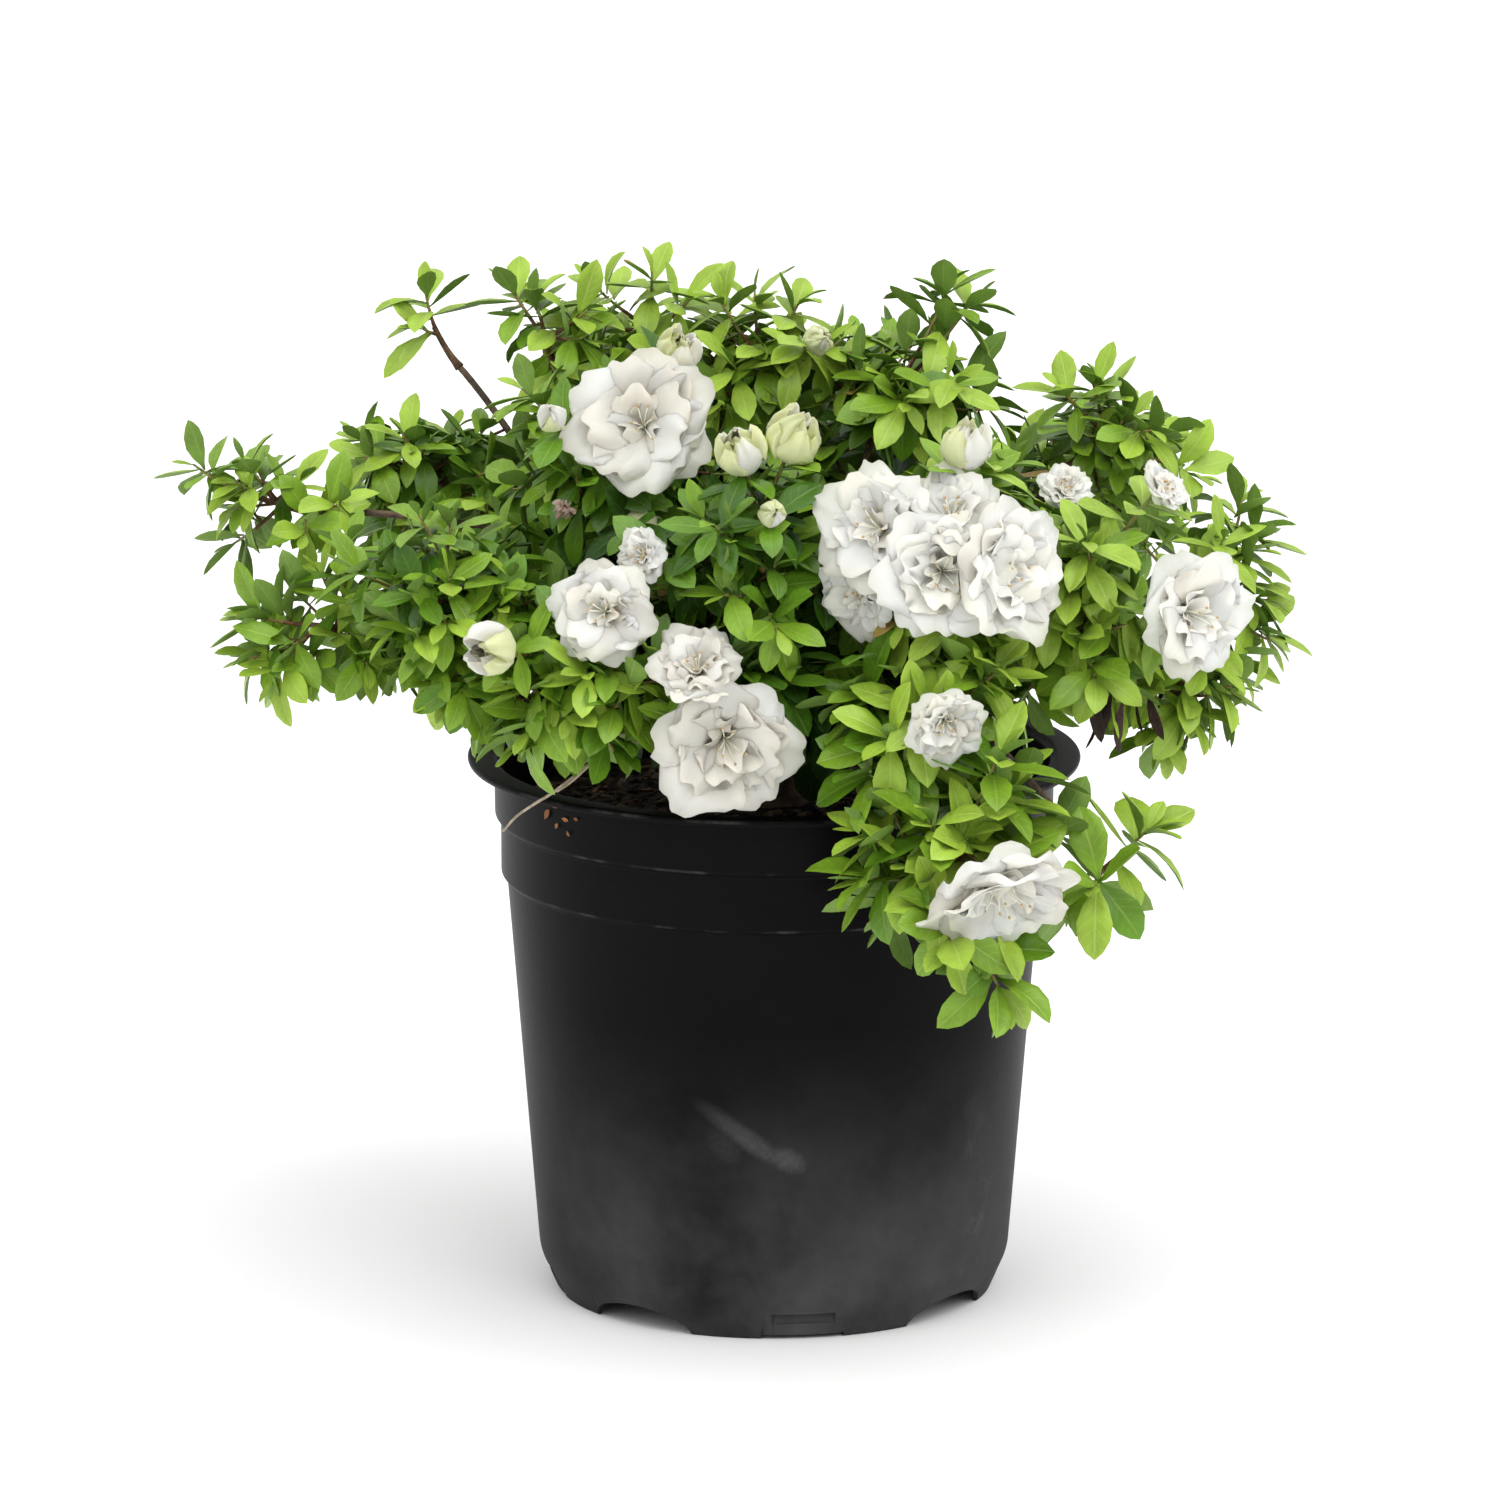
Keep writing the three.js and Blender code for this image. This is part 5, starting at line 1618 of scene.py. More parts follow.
@dataclass
class Blossom:
    """Double blooms of ruffled petals, half-open buds and a few spent ones.

    Attributes:
        open_radius: blooms smaller than this are opening and still greenish.
        bud_radius: blooms up to this size are closed.
        room: the balls that leaves keep out of: how far in front of the foot, and how large.
        spent: withered blooms by mass: heading, rise, distance and radius.
    """

    skeleton: Skeleton
    open_radius: float = 12.5
    bud_radius: float = 9.5
    room: tuple = ((0.46, 0.84), (1.15, 0.7))
    stamens: int = 6
    sides: tuple = (
        ("blossom_left", ("left", "top", "upper_front", "heart", "front_blossom")),
        ("blossom_right", ("right", "upper_right", "blossom_front", "front_skirt", "hanging")),
        ("blossom_back", ("back",)),
    )
    spent: tuple = (("left_front", 26, -22, 42, 10), ("upper_front_left", -25, -17, 52, 8))

    def __post_init__(self) -> None:
        """Finds where each bloom stands and the room that it fills."""
        self.blooms: list[tuple[Vector, Vector, float, str]] = []
        self.keep_out: list[tuple[Vector, float]] = []
        for mass in MASSES:
            for shoot in self.skeleton.shoots[mass.name]:
                if shoot.bloom:
                    radius, face = shoot.bloom
                    self.blooms.append((shoot.finish, face, radius, mass.name))
                    for ahead, size in self.room:
                        self.keep_out.append((shoot.finish + face * ahead * radius, size * radius))

    def _bloom(
        self,
        pile: Pile,
        foot: Vector,
        face: Vector,
        radius: float,
        tones: tuple,
        rings: tuple,
        painted_shade: float,
        draws: Draws,
    ) -> None:
        """Puts one bloom's petals on its foot.

        Args:
            pile: the piece that takes them.
            foot: the bloom's foot.
            face: the direction that it faces.
            radius: its radius.
            tones: the finishes dealt to its petals, and the one at their feet.
            rings: its rings of petals.
            painted_shade: the share of its petals that get the darker shaded finish, which is painted shade.
            draws: random numbers.
        """
        spin = 360 * draws()
        for index, ring in enumerate(rings):
            for k in range(ring.count):
                turn = spin + 360 * (k + 0.5 * (index % 2)) / ring.count + draws.about(9)
                # painted shade: a share of the petals get the darker shaded finish, as shade on blooms that
                # stand in shadow
                tone = PetalTone.SHADED if draws() < painted_shade else tones[int(draws() * (len(tones) - 1))]
                points = self.shape.points(foot, face, turn, radius, ring, draws)
                pile.add(points, self.petal, (tone, tones[-1]))

    def _stamens(self, pile: Pile, foot: Vector, face: Vector, radius: float, draws: Draws) -> None:
        """Puts thin stamens with brown tips in a bloom."""
        shares = np.linspace(0, 1, 5)
        for k in range(self.stamens):
            way = leaning(face, draws.between(8, 26), 360 / self.stamens * k + draws.about(20))
            tip = foot + way * radius * draws.between(0.62, 0.78)
            bend = foot + face * 0.45 * radius
            path = np.array([foot * (1 - s) ** 2 + bend * 2 * s * (1 - s) + tip * s * s for s in shares])
            pile.add(tube_points(path, np.full(5, 0.28), 4), tube_pattern(5, 4), (PetalTone.FILAMENT,))
            head = np.array([tip + way * s for s in (-0.7, -0.2, 0.6, 1.1)])
            radii = np.array([0.2, 0.62, 0.62, 0.2])
            pile.add(tube_points(head, radii, 5), tube_pattern(4, 5), (PetalTone.ANTHER,))

    def build(self, effects: Effects) -> list[Object]:
        """Makes the blossom, in front and behind, and dresses it."""
        piles = {name: Pile(name) for name, _ in self.sides}
        masses = {mass.name: mass for mass in MASSES}
        of_mass = {
            mass: next(name for name, starts in self.sides if mass.startswith(starts)) for mass in masses
        }
        self.shape, self.petal = Petal(), Petal().pattern()
        white, ivory, green = PetalTone.WHITE, PetalTone.IVORY, PetalTone.GREENISH
        for index, (foot, face, radius, name) in enumerate(self.blooms):
            draws = Draws(SEED + 900 + index)
            pile, painted_shade = piles[of_mass[name]], masses[name].painted_shade
            foot = foot - face * 0.03 * radius
            if radius <= self.bud_radius:
                self._bloom(pile, foot, face, radius, (green, ivory, green, green), BUD_RINGS, 0, draws)
            elif radius < self.open_radius:
                tones = (green, green, ivory, green, green)
                self._bloom(pile, foot, face, 1.2 * radius, tones, OPENING_RINGS, 0, draws)
            else:
                tones = (white, white, ivory, white, PetalTone.THROAT)
                self._bloom(pile, foot, face, radius, tones, OPEN_RINGS, painted_shade, draws)
                self._stamens(pile, foot, face, radius, draws)
        for index, (name, heading, rise, out, radius) in enumerate(self.spent):
            foot = masses[name].middle + aim(heading, rise) * (out - 6)
            tones = (PetalTone.SPENT, PetalTone.SPENT)
            pile, draws = piles[of_mass[name]], Draws(SEED + 990 + index)
            self._bloom(pile, foot, aim(heading, rise - 25), radius, tones, SPENT_RINGS, 0, draws)
        materials = [PETAL_FINISHES[tone].material(effects) for tone in PetalTone]
        pieces = []
        for piece, pile in piles.items():
            nodes = {f"foliage_{name}" for *_, name in self.blooms if of_mass[name] == piece}
            pieces.append(pile.build(materials, nodes, "blossom"))
        return pieces


@dataclass
class Twigs:
    """The shoots and side shoots, green towards their tips, and the stalks of the blossom.

    Attributes:
        tip: a twig's radius at its tip, and a stalk's.
        joint: how much thicker every other ring is.
    """

    skeleton: Skeleton
    rings: int = 7
    sides: int = 6
    tip: tuple = (0.5, 0.8)
    joint: float = 0.16
    bow: tuple = (0.07, 0.04, 0.04)

    def build(self, effects: Effects) -> Object:
        """Makes the twigs and dresses them."""
        pile = Pile("twigs")
        plain = tube_pattern(self.rings, self.sides)
        half = len(plain.parts) // 2
        parts = (np.arange(len(plain.parts)) >= half).astype(np.int32)
        pattern = Pattern(plain.corners, plain.sizes, parts, plain.spots)
        for index, mass in enumerate(MASSES):
            draws = Draws(SEED + 300 + index)
            for shoot in self.skeleton.shoots[mass.name]:
                self._twig(pile, shoot, pattern, draws)
        finishes = (
            BarkFinish("twig_brown", (0.2, 0.085, 0.035), (0.11, 0.05, 0.025), 300, 0.7),
            BarkFinish("twig_green", (0.2, 0.25, 0.05), (0.26, 0.16, 0.05), 240, 0.55),
        )
        return pile.build([finish.material(effects) for finish in finishes], [m.node for m in MASSES], "bark")

    def _twig(self, pile: Pile, shoot: Shoot, pattern: Pattern, draws: Draws) -> None:
        """Adds one twig, which bows a little between its ends."""
        side, top = square_to(shoot.ahead)
        aside, across, down = self.bow
        bow = (side * draws.about(aside) + top * draws.about(across) - UP * down) * shoot.reach
        shares = np.linspace(0, 1, self.rings)
        path = np.array([shoot.start.lerp(shoot.finish, s) + bow * 4 * s * (1 - s) for s in shares])
        tip = self.tip[1 if shoot.bloom else 0]
        radii = shoot.thick + (tip - shoot.thick) * shares
        radii = radii * (1 + self.joint * (np.arange(self.rings) % 2))
        if shoot.bloom:
            radii[-2:] = (0.9, min(2.4, 0.09 * shoot.bloom[0]))
        pile.add(tube_points(path, radii, self.sides), pattern, (0, 1))


@dataclass
class Bark:
    """The trunk, boughs and stems, with the bark's ridges in their mesh.

    Attributes:
        step: the distance between a bough's rings, and the trunk's.
        flare: how much wider a bough is where it leaves its parent, and over what length.
        grain: how fine the ridges are round a limb and along it.
    """

    skeleton: Skeleton
    trunk_sides: int = 40
    bough_sides: int = 14
    stem_sides: int = 8
    step: tuple = (3, 1.2)
    ridge: float = 0.13
    flare: tuple = (0.6, 5)
    grain: tuple = (1.7, 0.045)
    roots: float = 0.16
    stem_tip: float = 1.3

    def build(self, effects: Effects) -> list[Object]:
        """Makes the trunk and the boughs and dresses them."""
        old = BarkFinish("bark", (0.16, 0.105, 0.07), (0.075, 0.05, 0.035), 150).material(effects)
        young = BarkFinish("bark_young", (0.2, 0.11, 0.055), (0.1, 0.055, 0.03), 220).material(effects)
        trunk, boughs = Pile("trunk_bark"), Pile("bough_bark")
        self._limb(trunk, self.skeleton.trunk, self.trunk_sides, 0)
        for limb in self.skeleton.boughs.values():
            self._limb(boughs, limb, self.bough_sides, 0)
        for name, limb in self.skeleton.stems.items():
            tip = self.skeleton.boughs[name].radius(1)
            stem = Limb(name, limb.ends, [tip, self.stem_tip])
            self._limb(boughs, stem, self.stem_sides, 1)
        nodes = [f"bough_{mass.name}" for mass in MASSES]
        return [trunk.build([old], ["trunk"], "bark"), boughs.build([old, young], nodes, "bark")]

    def _limb(self, pile: Pile, limb: Limb, sides: int, tone: int) -> None:
        """Adds one limb with its ridges.

        Args:
            pile: the piece that takes it.
            limb: the limb.
            sides: how many sides it has.
            tone: the finish's number.
        """
        trunk = len(limb.ends) == 2
        length = (limb.at(1) - limb.at(0)).length
        count = max(5, int(length / self.step[1 if trunk else 0]))
        round_it, along = self.grain
        more, over = self.flare
        rings, shift = [], hash_of(limb.name)
        path = []
        for k in range(count):
            share = k / (count - 1)
            middle = limb.at(share)
            if trunk:
                middle.x = self.skeleton.lean * share * share
            path.append(middle)
            base = limb.radius(share)
            if not trunk:
                base *= 1 + more * math.exp(-share * length / over)
            rise = Vector((0, 0, share * length * 0.2))
            ring = []
            for s in range(sides):
                turn = 2 * math.pi * s / sides
                x, y = math.cos(turn) * round_it, math.sin(turn) * round_it
                place = Vector((x, y, share * length * along + shift))
                ridge = noise.noise(place) + 0.5 * noise.noise(place * 2.7 + rise)
                root = self.roots * math.cos(3 * turn + 0.6) * (1 - share) ** 7 if trunk else 0
                ring.append(base * (1 + self.ridge * ridge + root))
            rings.append(ring)
        pile.add(tube_points(np.array(path), np.array(rings), sides), tube_pattern(count, sides), (tone,))


def hash_of(name: str) -> float:
    """A number that stands for a name, the same on every run."""
    return sum(ord(letter) * (k + 1) for k, letter in enumerate(name)) % 97


def rounded(corners: Sequence[tuple[float, float, float]], steps: int = 5) -> list[tuple[float, float]]:
    """A profile with its corners rounded.

    Args:
        corners: radius, height and fillet of each corner.
        steps: points on each fillet.

    Returns:
        The profile's points.
    """
    profile = []
    for k, (r, z, fillet) in enumerate(corners):
        if fillet == 0:
            profile.append((r, z))
            continue
        here = Vector((r, z))
        before = (Vector(corners[k - 1][:2]) - here).normalized() * fillet
        after = (Vector(corners[k + 1][:2]) - here).normalized() * fillet
        for s in range(steps):
            t = s / (steps - 1)
            profile.append(tuple(here + before * (1 - t) ** 2 + after * t * t))
    return profile


@dataclass
class Pot:
    """The nursery pot: a tapered body with two moulded steps, a flat lip, feet and drain openings.

    Attributes are in millimetres. The foot's heading is in degrees from the front towards +X.
    """

    height: float = 250
    lip_radius: float = 140
    lip_thick: float = 3.4
    wall: float = 2.5
    floor: float = 3
    collar_radius: float = 127.5
    collar_foot: float = 220
    band_radius: float = 124.8
    band_foot: float = 193
    body_top_radius: float = 122.1
    chamfer_radius: float = 107.8
    chamfer_height: float = 18
    foot_radius: float = 100
    pad_radius: float = 57
    channel: float = 11
    channel_slope: float = 3
    step: float = 2.4
    feet: int = 4
    foot_heading: float = 7.4
    drain: tuple = (54, 11)
    slot: tuple = (28, 5)
    slot_foot: float = 8
    slot_depth: float = 2.4
    arch: tuple = (38, 2)
    foot_depth: float = 12
    edge: float = 0.5
    segments: int = 192

    @staticmethod
    def clear(point: Vector) -> bool:
        """Whether a point keeps clear of the pot and the potting mix."""
        r = math.hypot(point.x, point.y)
        if point.z > Pot.height + 2 or r > Pot.lip_radius + 2:
            return True
        if r < Pot.collar_radius - 5:
            return point.z > PottingMix.top + 3
        return r > Pot.collar_radius + 2 and point.z < Pot.height - Pot.lip_thick - 2

    def body_radius(self, height: float) -> float:
        """The outer radius of the chamfered foot at a height."""
        return self.foot_radius + (self.chamfer_radius - self.foot_radius) * height / self.chamfer_height

    def inside(self, gap: float) -> list[tuple[float, float, float]]:
        """The inside from the floor's middle to the collar, moved inwards by a gap."""
        floor, inset = self.floor + gap, self.wall + gap
        raised = self.channel + floor
        return [
            (0, floor, 0),
            (self.pad_radius - gap, floor, 1),
            (self.pad_radius + self.channel_slope - gap, raised, 1),
            (self.body_radius(raised) - inset, raised, 1),
            (self.chamfer_radius - inset, self.chamfer_height, 1),
            (self.body_top_radius - inset, self.band_foot, 1),
            (self.band_radius - inset, self.collar_foot, 1),
        ]

    def profile(self) -> list[tuple[float, float]]:
        """The whole outline of the wall, from under the floor's middle round to above it."""
        under = self.height - self.lip_thick
        outside = [
            (0, 0, 0),
            (self.pad_radius, 0, 1),
            (self.pad_radius + self.channel_slope, self.channel, 1),
            (self.body_radius(self.channel) - self.wall, self.channel, 1),
            (self.foot_radius - self.wall, 0, 0.6),
            (self.foot_radius, 0, 0.8),
            (self.chamfer_radius, self.chamfer_height, 4),
            (self.body_top_radius, self.band_foot, 0.7),
            (self.band_radius, self.band_foot + self.step, 0.9),
            (self.band_radius, self.collar_foot, 0.7),
            (self.collar_radius, self.collar_foot + self.step, 0.9),
            (self.collar_radius + 0.4, under, 1.6),
            (self.lip_radius - 0.6, under, 0.8),
            (self.lip_radius, self.height - 1.4, 0.6),
            (self.lip_radius - 0.9, self.height, 0.7),
            (self.collar_radius + 1, self.height - 0.3, 1.5),
        ]
        top = (self.collar_radius - 1.6, self.height - 2.4, 1.2)
        return rounded(outside + [top] + list(reversed(self.inside(0))))

    def _cutter(self, heading: float, outline: Sequence[tuple[float, float]], start: float) -> Object:
        """A cutter for the foot.

        Args:
            heading: where it cuts.
            outline: its corners, sideways and up, counterclockwise as seen from outside.
            start: the radius from which it cuts outwards.

        Returns:
            The cutter.
        """
        out, side = aim(heading, 0), aim(heading + 90, 0)
        count = len(outline)
        corners = []
        for reach in (start, self.chamfer_radius + self.foot_depth):
            corners += [(out * reach + side * x + UP * z) * MM for x, z in outline]
        faces = [tuple(reversed(range(count))), tuple(range(count, 2 * count))]
        for k in range(count):
            after = (k + 1) % count
            faces.append((count + after, count + k, k, after))
        mesh = bpy.data.meshes.new("foot_cutter")
        mesh.from_pydata(corners, [], faces)
        cutter = bpy.data.objects.new("foot_cutter", mesh)
        bpy.context.scene.collection.objects.link(cutter)
        return cutter

    @staticmethod
    def _box(size: tuple, low: float) -> list[tuple[float, float]]:
        """The outline of a level opening of a width and height."""
        half, top = 0.5 * size[0], low + size[1]
        return [(-half, low), (half, low), (half, top), (-half, top)]

    @staticmethod
    def _vault(size: tuple, steps: int = 16) -> list[tuple[float, float]]:
        """The outline of an arched opening of a width and height that stands on the ground."""
        turns = [math.pi * k / steps for k in range(steps + 1)]
        curve = [(0.5 * size[0] * math.cos(turn), size[1] * math.sin(turn)) for turn in turns]
        return [(0.5 * size[0], -1), *curve, (-0.5 * size[0], -1)]

    def build(self, effects: Effects) -> Object:
        """Makes the pot, cuts its foot and dresses it."""
        pile = Pile("nursery_pot")
        profile = self.profile()
        pile.add(*turned(profile, self.segments))
        pot = pile.build([PotFinish().material(effects)], ["pot"], "pot_plastic")
        cutters = []
        for k in range(self.feet):
            heading = self.foot_heading + 360 / self.feet * k
            between, deep = heading + 180 / self.feet, self.foot_radius - self.foot_depth
            cutters.append(self._cutter(between, self._vault(self.drain), deep))
            cutters.append(self._cutter(heading, self._box((self.arch[0], self.arch[1] + 1), -1), deep))
            recess, shallow = self._box(self.slot, self.slot_foot), self.foot_radius + self.slot_depth
            cutters.append(self._cutter(heading, recess, shallow))
        for cutter in cutters:
            cut = pot.modifiers.new("cut", "BOOLEAN")
            cut.operation, cut.solver, cut.object = "DIFFERENCE", "EXACT", cutter
        edge = pot.modifiers.new("edge", "BEVEL")
        edge.width, edge.segments, edge.angle_limit = self.edge * MM, 2, math.radians(40)
        settle(pot)
        for cutter in cutters:
            bpy.data.meshes.remove(cutter.data)
        return pot


def turned(profile: Sequence[tuple[float, float]], segments: int) -> tuple[np.ndarray, Pattern]:
    """A closed solid turned about the vertical axis.

    Args:
        profile: radius and height, from the axis round to the axis.
        segments: steps about the axis.

    Returns:
        Its points and its faces.
    """
    inner = profile[1:-1]
    turns = np.linspace(0, 2 * np.pi, segments, endpoint=False)
    rings = [np.column_stack([r * np.sin(turns), -r * np.cos(turns), np.full(segments, z)]) for r, z in inner]
    points = np.concatenate(rings + [[[0, 0, profile[0][1]]], [[0, 0, profile[-1][1]]]])
    faces = []
    first, last = len(points) - 2, len(points) - 1
    for ring in range(len(inner) - 1):
        for k in range(segments):
            a, b = ring * segments + k, ring * segments + (k + 1) % segments
            faces.append((a, b, b + segments, a + segments))
    top = (len(inner) - 1) * segments
    for k in range(segments):
        after = (k + 1) % segments
        faces += [(first, after, k), (last, top + k, top + after)]
    spots = [(k / segments, ring / len(inner)) for ring in range(len(inner)) for k in range(segments)]
    return points, Pattern.of(faces, [0] * len(faces), spots + [(0, 0), (0, 1)])


def settle(piece: Object) -> None:
    """Applies a piece's modifiers."""
    seen = piece.evaluated_get(bpy.context.evaluated_depsgraph_get())
    mesh = bpy.data.meshes.new_from_object(seen)
    old = piece.data
    piece.modifiers.clear()
    piece.data = mesh
    bpy.data.meshes.remove(old)


@dataclass
class PottingMix:
    """Crumbly potting mix with chips of bark and fallen leaves.

    Attributes:
        slope: how much lower it lies at the wall.
        chip_size: the least and the most of a chip's length, width and thickness.
        bare: the radius about the trunk that has no chips.
    """

    pot: Pot
    slope: float = 3
    gap: float = 0.6
    chips: int = 1500
    chip_size: tuple = ((3, 13), (2, 5.5), (0.8, 2.4))
    bare: float = 15
    fallen: int = 26
    rings: int = 42
    segments: int = 120
    edge: float = 221.5
    top: ClassVar[float] = 226

    def height(self, x: float, y: float) -> float:
        """The surface's height at a place."""
        r = math.hypot(x, y)
        crumble = 1.5 * noise.noise(Vector((x, y, 0)) * 0.09) + 1.1 * noise.noise(Vector((x, y, 9)) * 0.33)
        return self.top - self.slope * eased(r, 60, 120) - 0.8 + crumble

    def build(self, effects: Effects) -> list[Object]:
        """Makes the mix and its chips, and dresses them."""
        earth = BarkFinish("potting_mix", (0.03, 0.019, 0.013), (0.014, 0.009, 0.007), 260, 0.95)
        chip_finishes = (
            BarkFinish("chip_dark", (0.035, 0.02, 0.013), (0.018, 0.011, 0.008), 300, 0.9),
            BarkFinish("chip_red", (0.1, 0.042, 0.022), (0.05, 0.024, 0.014), 300, 0.85),
            BarkFinish("chip_tan", (0.2, 0.13, 0.075), (0.11, 0.07, 0.04), 300, 0.85),
        )
        draws = Draws(SEED + 70)
        bed = self._bed(earth.material(effects))
        return [bed, self._chips([finish.material(effects) for finish in chip_finishes], draws)]

    def _bed(self, earth: Material) -> Object:
        """The body of the mix, rough on top."""
        sides = [(r, z) for r, z, _ in self.pot.inside(self.gap)]
        edge = sides[-1][0] - 0.2
        crown = [(edge * (1 - k / self.rings), self.top) for k in range(self.rings + 1)]
        points, pattern = turned(sides + [(edge, self.edge)] + crown, self.segments)
        for point in points:
            if point[2] == self.top:
                point[2] = self.height(point[0], point[1])
        pile = Pile("potting_mix_bed")
        pile.add(points, pattern)
        return pile.build([earth], ["potting_mix"], "potting_mix")

    def _chips(self, materials: list[Material], draws: Draws) -> Object:
        """Chips of bark strewn over the mix."""
        pile = Pile("bark_chips")
        faces = [(3, 2, 1, 0), (4, 5, 6, 7), (0, 1, 5, 4), (1, 2, 6, 5), (2, 3, 7, 6), (3, 0, 4, 7)]
        shape = Pattern.of(faces, [0] * 6, [(0, 0)] * 8)
        reach = self.pot.band_radius - 9
        for _ in range(self.chips):
            r, turn = reach * math.sqrt(draws()), 360 * draws()
            x, y = r * math.sin(math.radians(turn)), -r * math.cos(math.radians(turn))
            if r < self.bare:
                continue
            way = aim(360 * draws(), draws.about(24))
            side, up = square_to(way)
            if up.z < 0:
                up = -up
            long, wide, tall = (draws.between(*sizes) for sizes in self.chip_size)
            middle = Vector((x, y, self.height(x, y) + draws.between(0, 0.9)))
            points = []
            for z in (-0.5, 0.5):
                for a, b in ((-0.5, -0.5), (0.5, -0.5), (0.5, 0.5), (-0.5, 0.5)):
                    a, b = a * draws.between(0.55, 1.1), b * draws.between(0.5, 1.1)
                    height = up * tall * z * draws.between(0.7, 1.2)
                    points.append(middle + way * long * a + side * wide * b + height)
            pile.add(np.array(points), shape, (min(2, int(draws() ** 2.2 * 3)),))
        return pile.build(materials, [], "potting_mix", crease=40)


@dataclass
class DeadMatter:
    """Dead leaves on the mix and under the right side of the crown, and a dry stem over the lip.

    Attributes:
        thick: the radius of the stem, of its branch, and of both at their tips.
        hung: the dead leaves that hang under the crown, where the first is, and the steps between them.
        crumbs: where bits of dead leaf cling to the collar, by heading, height and size.
    """

    pot: Pot
    mix: PottingMix
    stem: tuple = (
        (-44, -82, 266),
        (-60, -96, 276),
        (-74, -104, 274),
        (-88, -103, 263),
        (-99, -101, 254),
        (-108, -95, 247),
        (-116, -85, 239),
        (-122, -70, 229),
    )
    fork: tuple = ((-74, -104, 274), (-80, -110, 271), (-90, -112, 262), (-97, -112, 257))
    thick: tuple = (1.0, 0.75, 0.55)
    hung: tuple = (6, (140, -112, 304), (5.2, 5, 3))
    crumbs: tuple = (
        (-51, 243, 5),
        (-48, 238.5, 4),
        (-53.5, 236, 6),
        (-50, 233, 3.5),
        (-44.5, 240, 3),
        (-46.5, 233.5, 3),
    )

    def build(self, effects: Effects) -> list[Object]:
        """Makes the dead leaves and the dry stem and dresses them."""
        return [self._stem(effects), self._leaves(effects)]

    def _stem(self, effects: Effects) -> Object:
        """The dry stem, forked near its top."""
        pile = Pile("dry_stem")
        for route, thick in zip((self.stem, self.fork), self.thick):
            path = smoothed(route)
            radii = np.linspace(thick, self.thick[-1], len(path))
            pile.add(tube_points(path, radii, 8), tube_pattern(len(path), 8))
        straw = BarkFinish("dry_stem", (0.5, 0.42, 0.31), (0.33, 0.26, 0.18), 200, 0.7)
        return pile.build([straw.material(effects)], [], "bark")

    def _leaves(self, effects: Effects) -> Object:
        """Dead leaves: fallen on the mix, hanging under the crown, and crumbs on the collar."""
        pile, blade = Pile("dead_leaves"), Blade()
        shape, draws = blade.pattern(), Draws(SEED + 80)
        reach = self.pot.band_radius - 14
        for _ in range(self.mix.fallen):
            place = aim(360 * draws(), 0) * reach * math.sqrt(draws())
            root = place + UP * (self.mix.height(place.x, place.y) + 2.2)
            way = aim(360 * draws(), draws.about(14))
            pile.add(blade.points(root, way, UP, draws.between(16, 27), 8, draws), shape, (draws() < 0.4, 1))
        count, (x, y, z), (right, back, down) = self.hung
        for k in range(count):
            root = Vector((x + right * k, y + back * (k % 3), z - down * (k % 2)))
            way = (aim(120 + 60 * k, -74) + aim(0, 0) * 0.1).normalized()
            face = square_to(way)[0]
            pile.add(blade.points(root, way, face, draws.between(20, 29), 6.5, draws), shape, (2, 2))
        for heading, height, size in self.crumbs:
            root = aim(heading, 0) * (self.pot.collar_radius + 1.1) + UP * height
            way = (aim(heading + 90, 20 * draws.about(3))).normalized()
            pile.add(blade.points(root, way, aim(heading, 0), size, 0.55 * size, draws), shape, (0, 0))
        finishes = (
            BarkFinish("dead_leaf_orange", (0.33, 0.13, 0.03), (0.2, 0.08, 0.025), 120, 0.7),
            BarkFinish("dead_leaf_brown", (0.12, 0.06, 0.03), (0.07, 0.035, 0.02), 120, 0.75),
            BarkFinish("dead_leaf_dark", (0.05, 0.022, 0.016), (0.028, 0.014, 0.011), 120, 0.75),
        )
        return pile.build([finish.material(effects) for finish in finishes], [], "bark")


def smoothed(route: Sequence[tuple[float, float, float]], steps: int = 5) -> np.ndarray:
    """A smooth path through a route's points."""
    points = [Vector(point) for point in route]
    ends = [points[0] * 2 - points[1], *points, points[-1] * 2 - points[-2]]
    path = []
    for a, b, c, d in zip(ends, ends[1:], ends[2:], ends[3:]):
        for k in range(steps):
            t = k / steps
            square, cube = 2 * a - 5 * b + 4 * c - d, 3 * b - a - 3 * c + d
            path.append(0.5 * (2 * b + (c - a) * t + square * t**2 + cube * t**3))
    return np.array(path + [points[-1]])


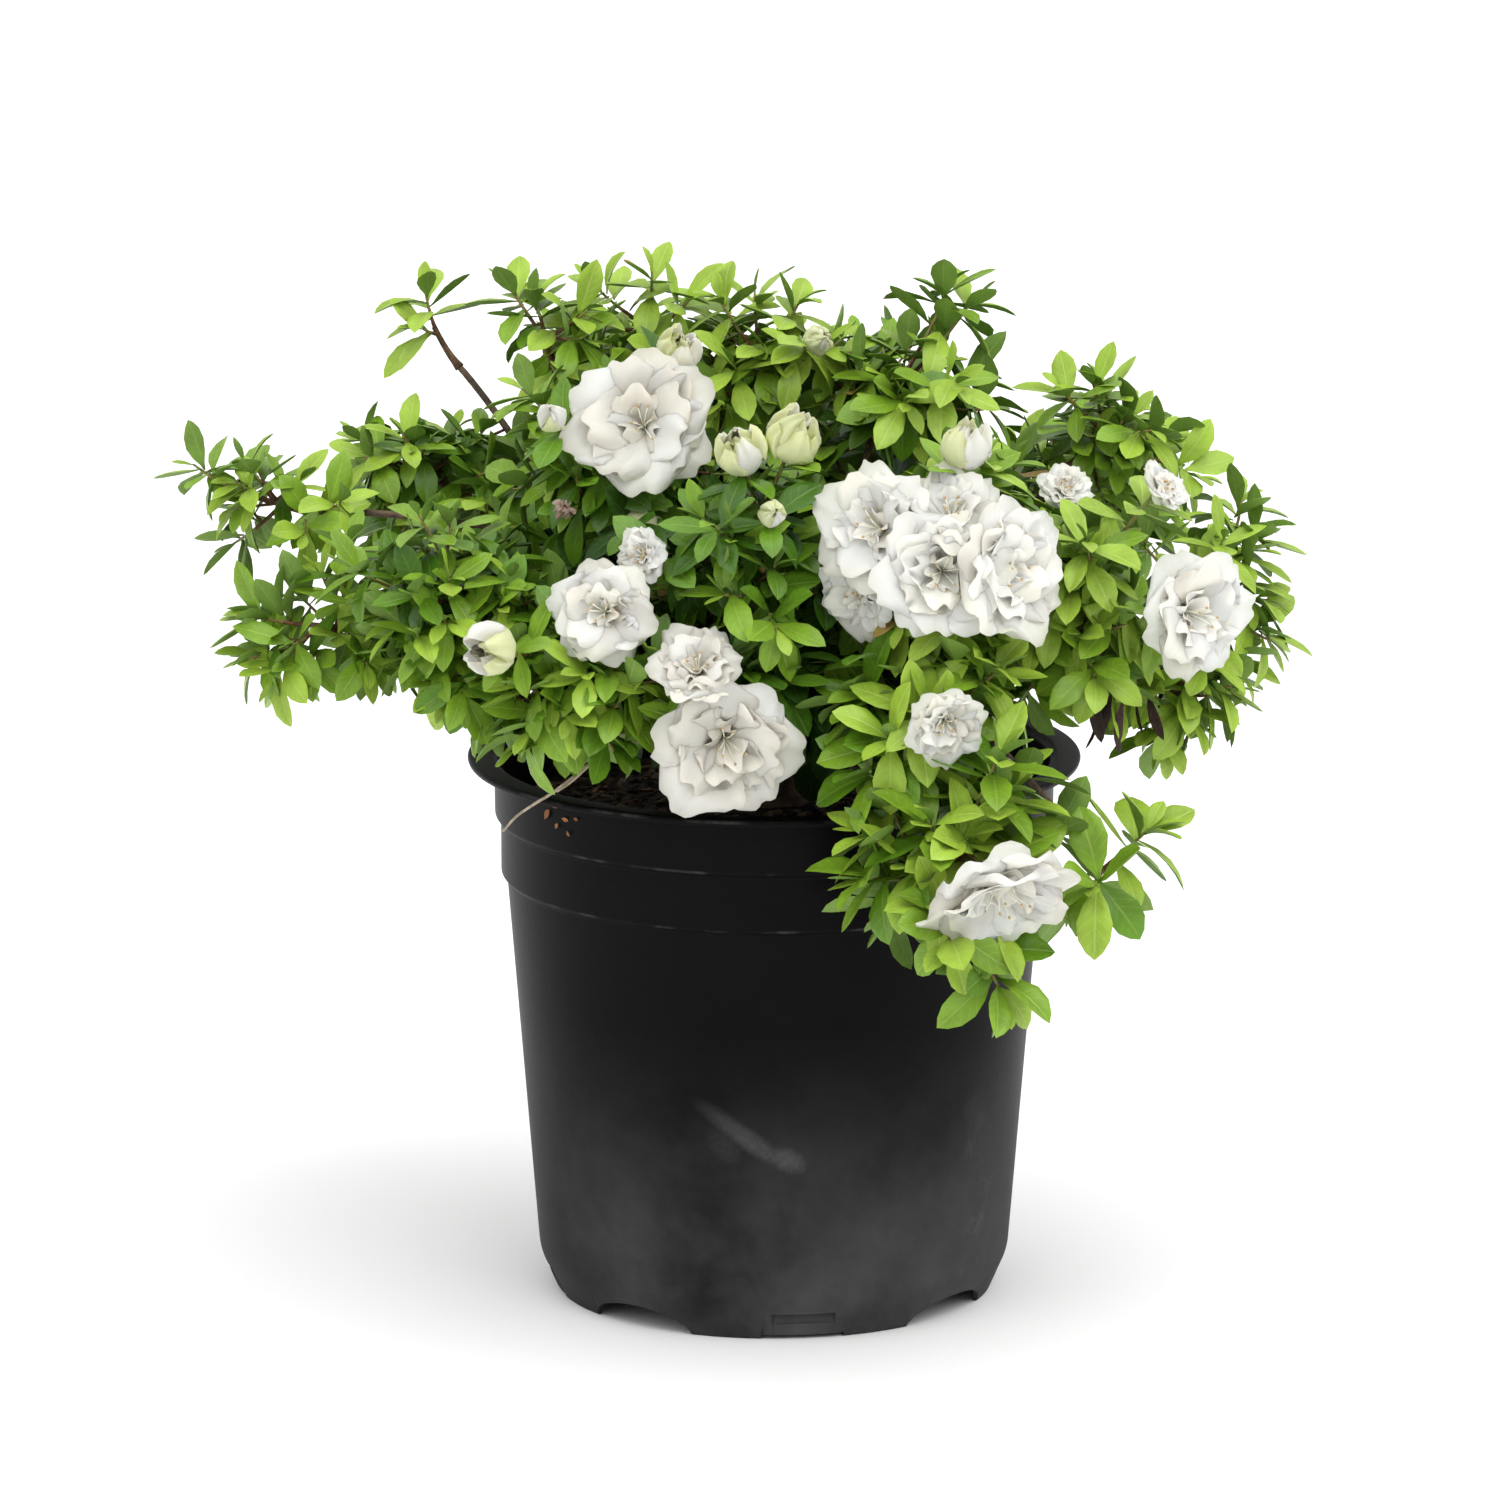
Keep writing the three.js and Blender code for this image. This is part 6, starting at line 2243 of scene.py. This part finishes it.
@dataclass
class Studio:
    """A pale floor, soft light and a camera at the photograph's angle.

    Attributes:
        glow: the sky's brightness at the horizon and overhead.
        lamps: each light's name, heading, rise, strength and angle.
        floor: the floor's radius in metres, and its steps.
    """

    target: tuple = (-11, 0, 250.5)
    distance: float = 4600
    elevation: float = 12.8
    lens: float = 241.85
    sensor: float = 36
    glow: tuple = (0.5, 1.25)
    lamps: tuple = (("key", 44, 53, 1.45, 60), ("fill", -40, 40, 0.5, 60))
    floor: tuple = (16, 64)
    paint: float = 0.93

    def build(self) -> None:
        """Builds the floor, the lights and the camera, for plain photographic colours."""
        bpy.context.scene.view_settings.view_transform = "Standard"
        self._floor()
        self._light()
        self._camera()

    def _floor(self) -> None:
        """A wide pale floor."""
        mesh = bpy.data.meshes.new("floor")
        radius, steps = self.floor
        turns = np.linspace(0, 2 * math.pi, steps, endpoint=False)
        rim = [(radius * math.sin(turn), radius * math.cos(turn), 0) for turn in turns]
        mesh.from_pydata(rim, [], [tuple(reversed(range(steps)))])
        floor = bpy.data.objects.new("floor", mesh)
        bpy.context.scene.collection.objects.link(floor)
        material, nodes = blank("pale_floor")
        pale = opaque((self.paint,) * 3)
        surface(nodes, {"Base Color": pale, "Roughness": 0.9, "Specular IOR Level": 0.1})
        mesh.materials.append(material)
        floor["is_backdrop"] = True

    def _light(self) -> None:
        """A white sky that is brightest overhead, with a broad soft sun and a fill."""
        world = bpy.data.worlds.new("studio")
        bpy.context.scene.world = world
        world.use_nodes = True
        nodes = Nodes(world.node_tree)
        way = nodes.add("SeparateXYZ", {"Vector": nodes.add("TexCoord").outputs["Generated"]})
        glow = nodes.ramp(way.outputs["Z"], -0.1, 1.0, *self.glow)
        sky = nodes.add("Background", {"Color": (1.0, 1.0, 1.0, 1.0), "Strength": glow})
        nodes.add("OutputWorld", {"Surface": sky.outputs[0]})
        for name, heading, rise, strength, angle in self.lamps:
            light = bpy.data.lights.new(name, "SUN")
            light.energy, light.angle = strength, math.radians(angle)
            lamp = bpy.data.objects.new(name, light)
            lamp.rotation_euler = (-aim(heading, rise)).to_track_quat("-Z", "Y").to_euler()
            bpy.context.scene.collection.objects.link(lamp)

    def _camera(self) -> None:
        """The camera, at the photograph's angle."""
        camera = bpy.data.cameras.new("camera")
        camera.lens, camera.sensor_width = self.lens, self.sensor
        camera.clip_end = 100
        eye = bpy.data.objects.new("camera", camera)
        back = aim(0, self.elevation)
        eye.location = (Vector(self.target) + back * self.distance) * MM
        eye.rotation_euler = (-back).to_track_quat("-Z", "Y").to_euler()
        bpy.context.scene.collection.objects.link(eye)
        bpy.context.scene.camera = eye


def main() -> None:
    """Builds the shrub, the pot and the studio, in order."""
    logging.basicConfig(level=logging.INFO, format="%(name)s: %(message)s")
    effects = Effects()
    skeleton = Skeleton()
    blossom = Blossom(skeleton)
    pot = Pot()
    mix = PottingMix(pot)
    pot.build(effects)
    mix.build(effects)
    Bark(skeleton).build(effects)
    Twigs(skeleton).build(effects)
    Foliage(skeleton, blossom.keep_out).build(effects)
    blossom.build(effects)
    DeadMatter(pot, mix).build(effects)
    Studio().build()
    boxes = {"cad": CAD_BOX, "visual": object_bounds()}
    {name: [list(map(float, corner)) for corner in box] for name, box in boxes.items()}


if __name__ == "__main__":
    main()
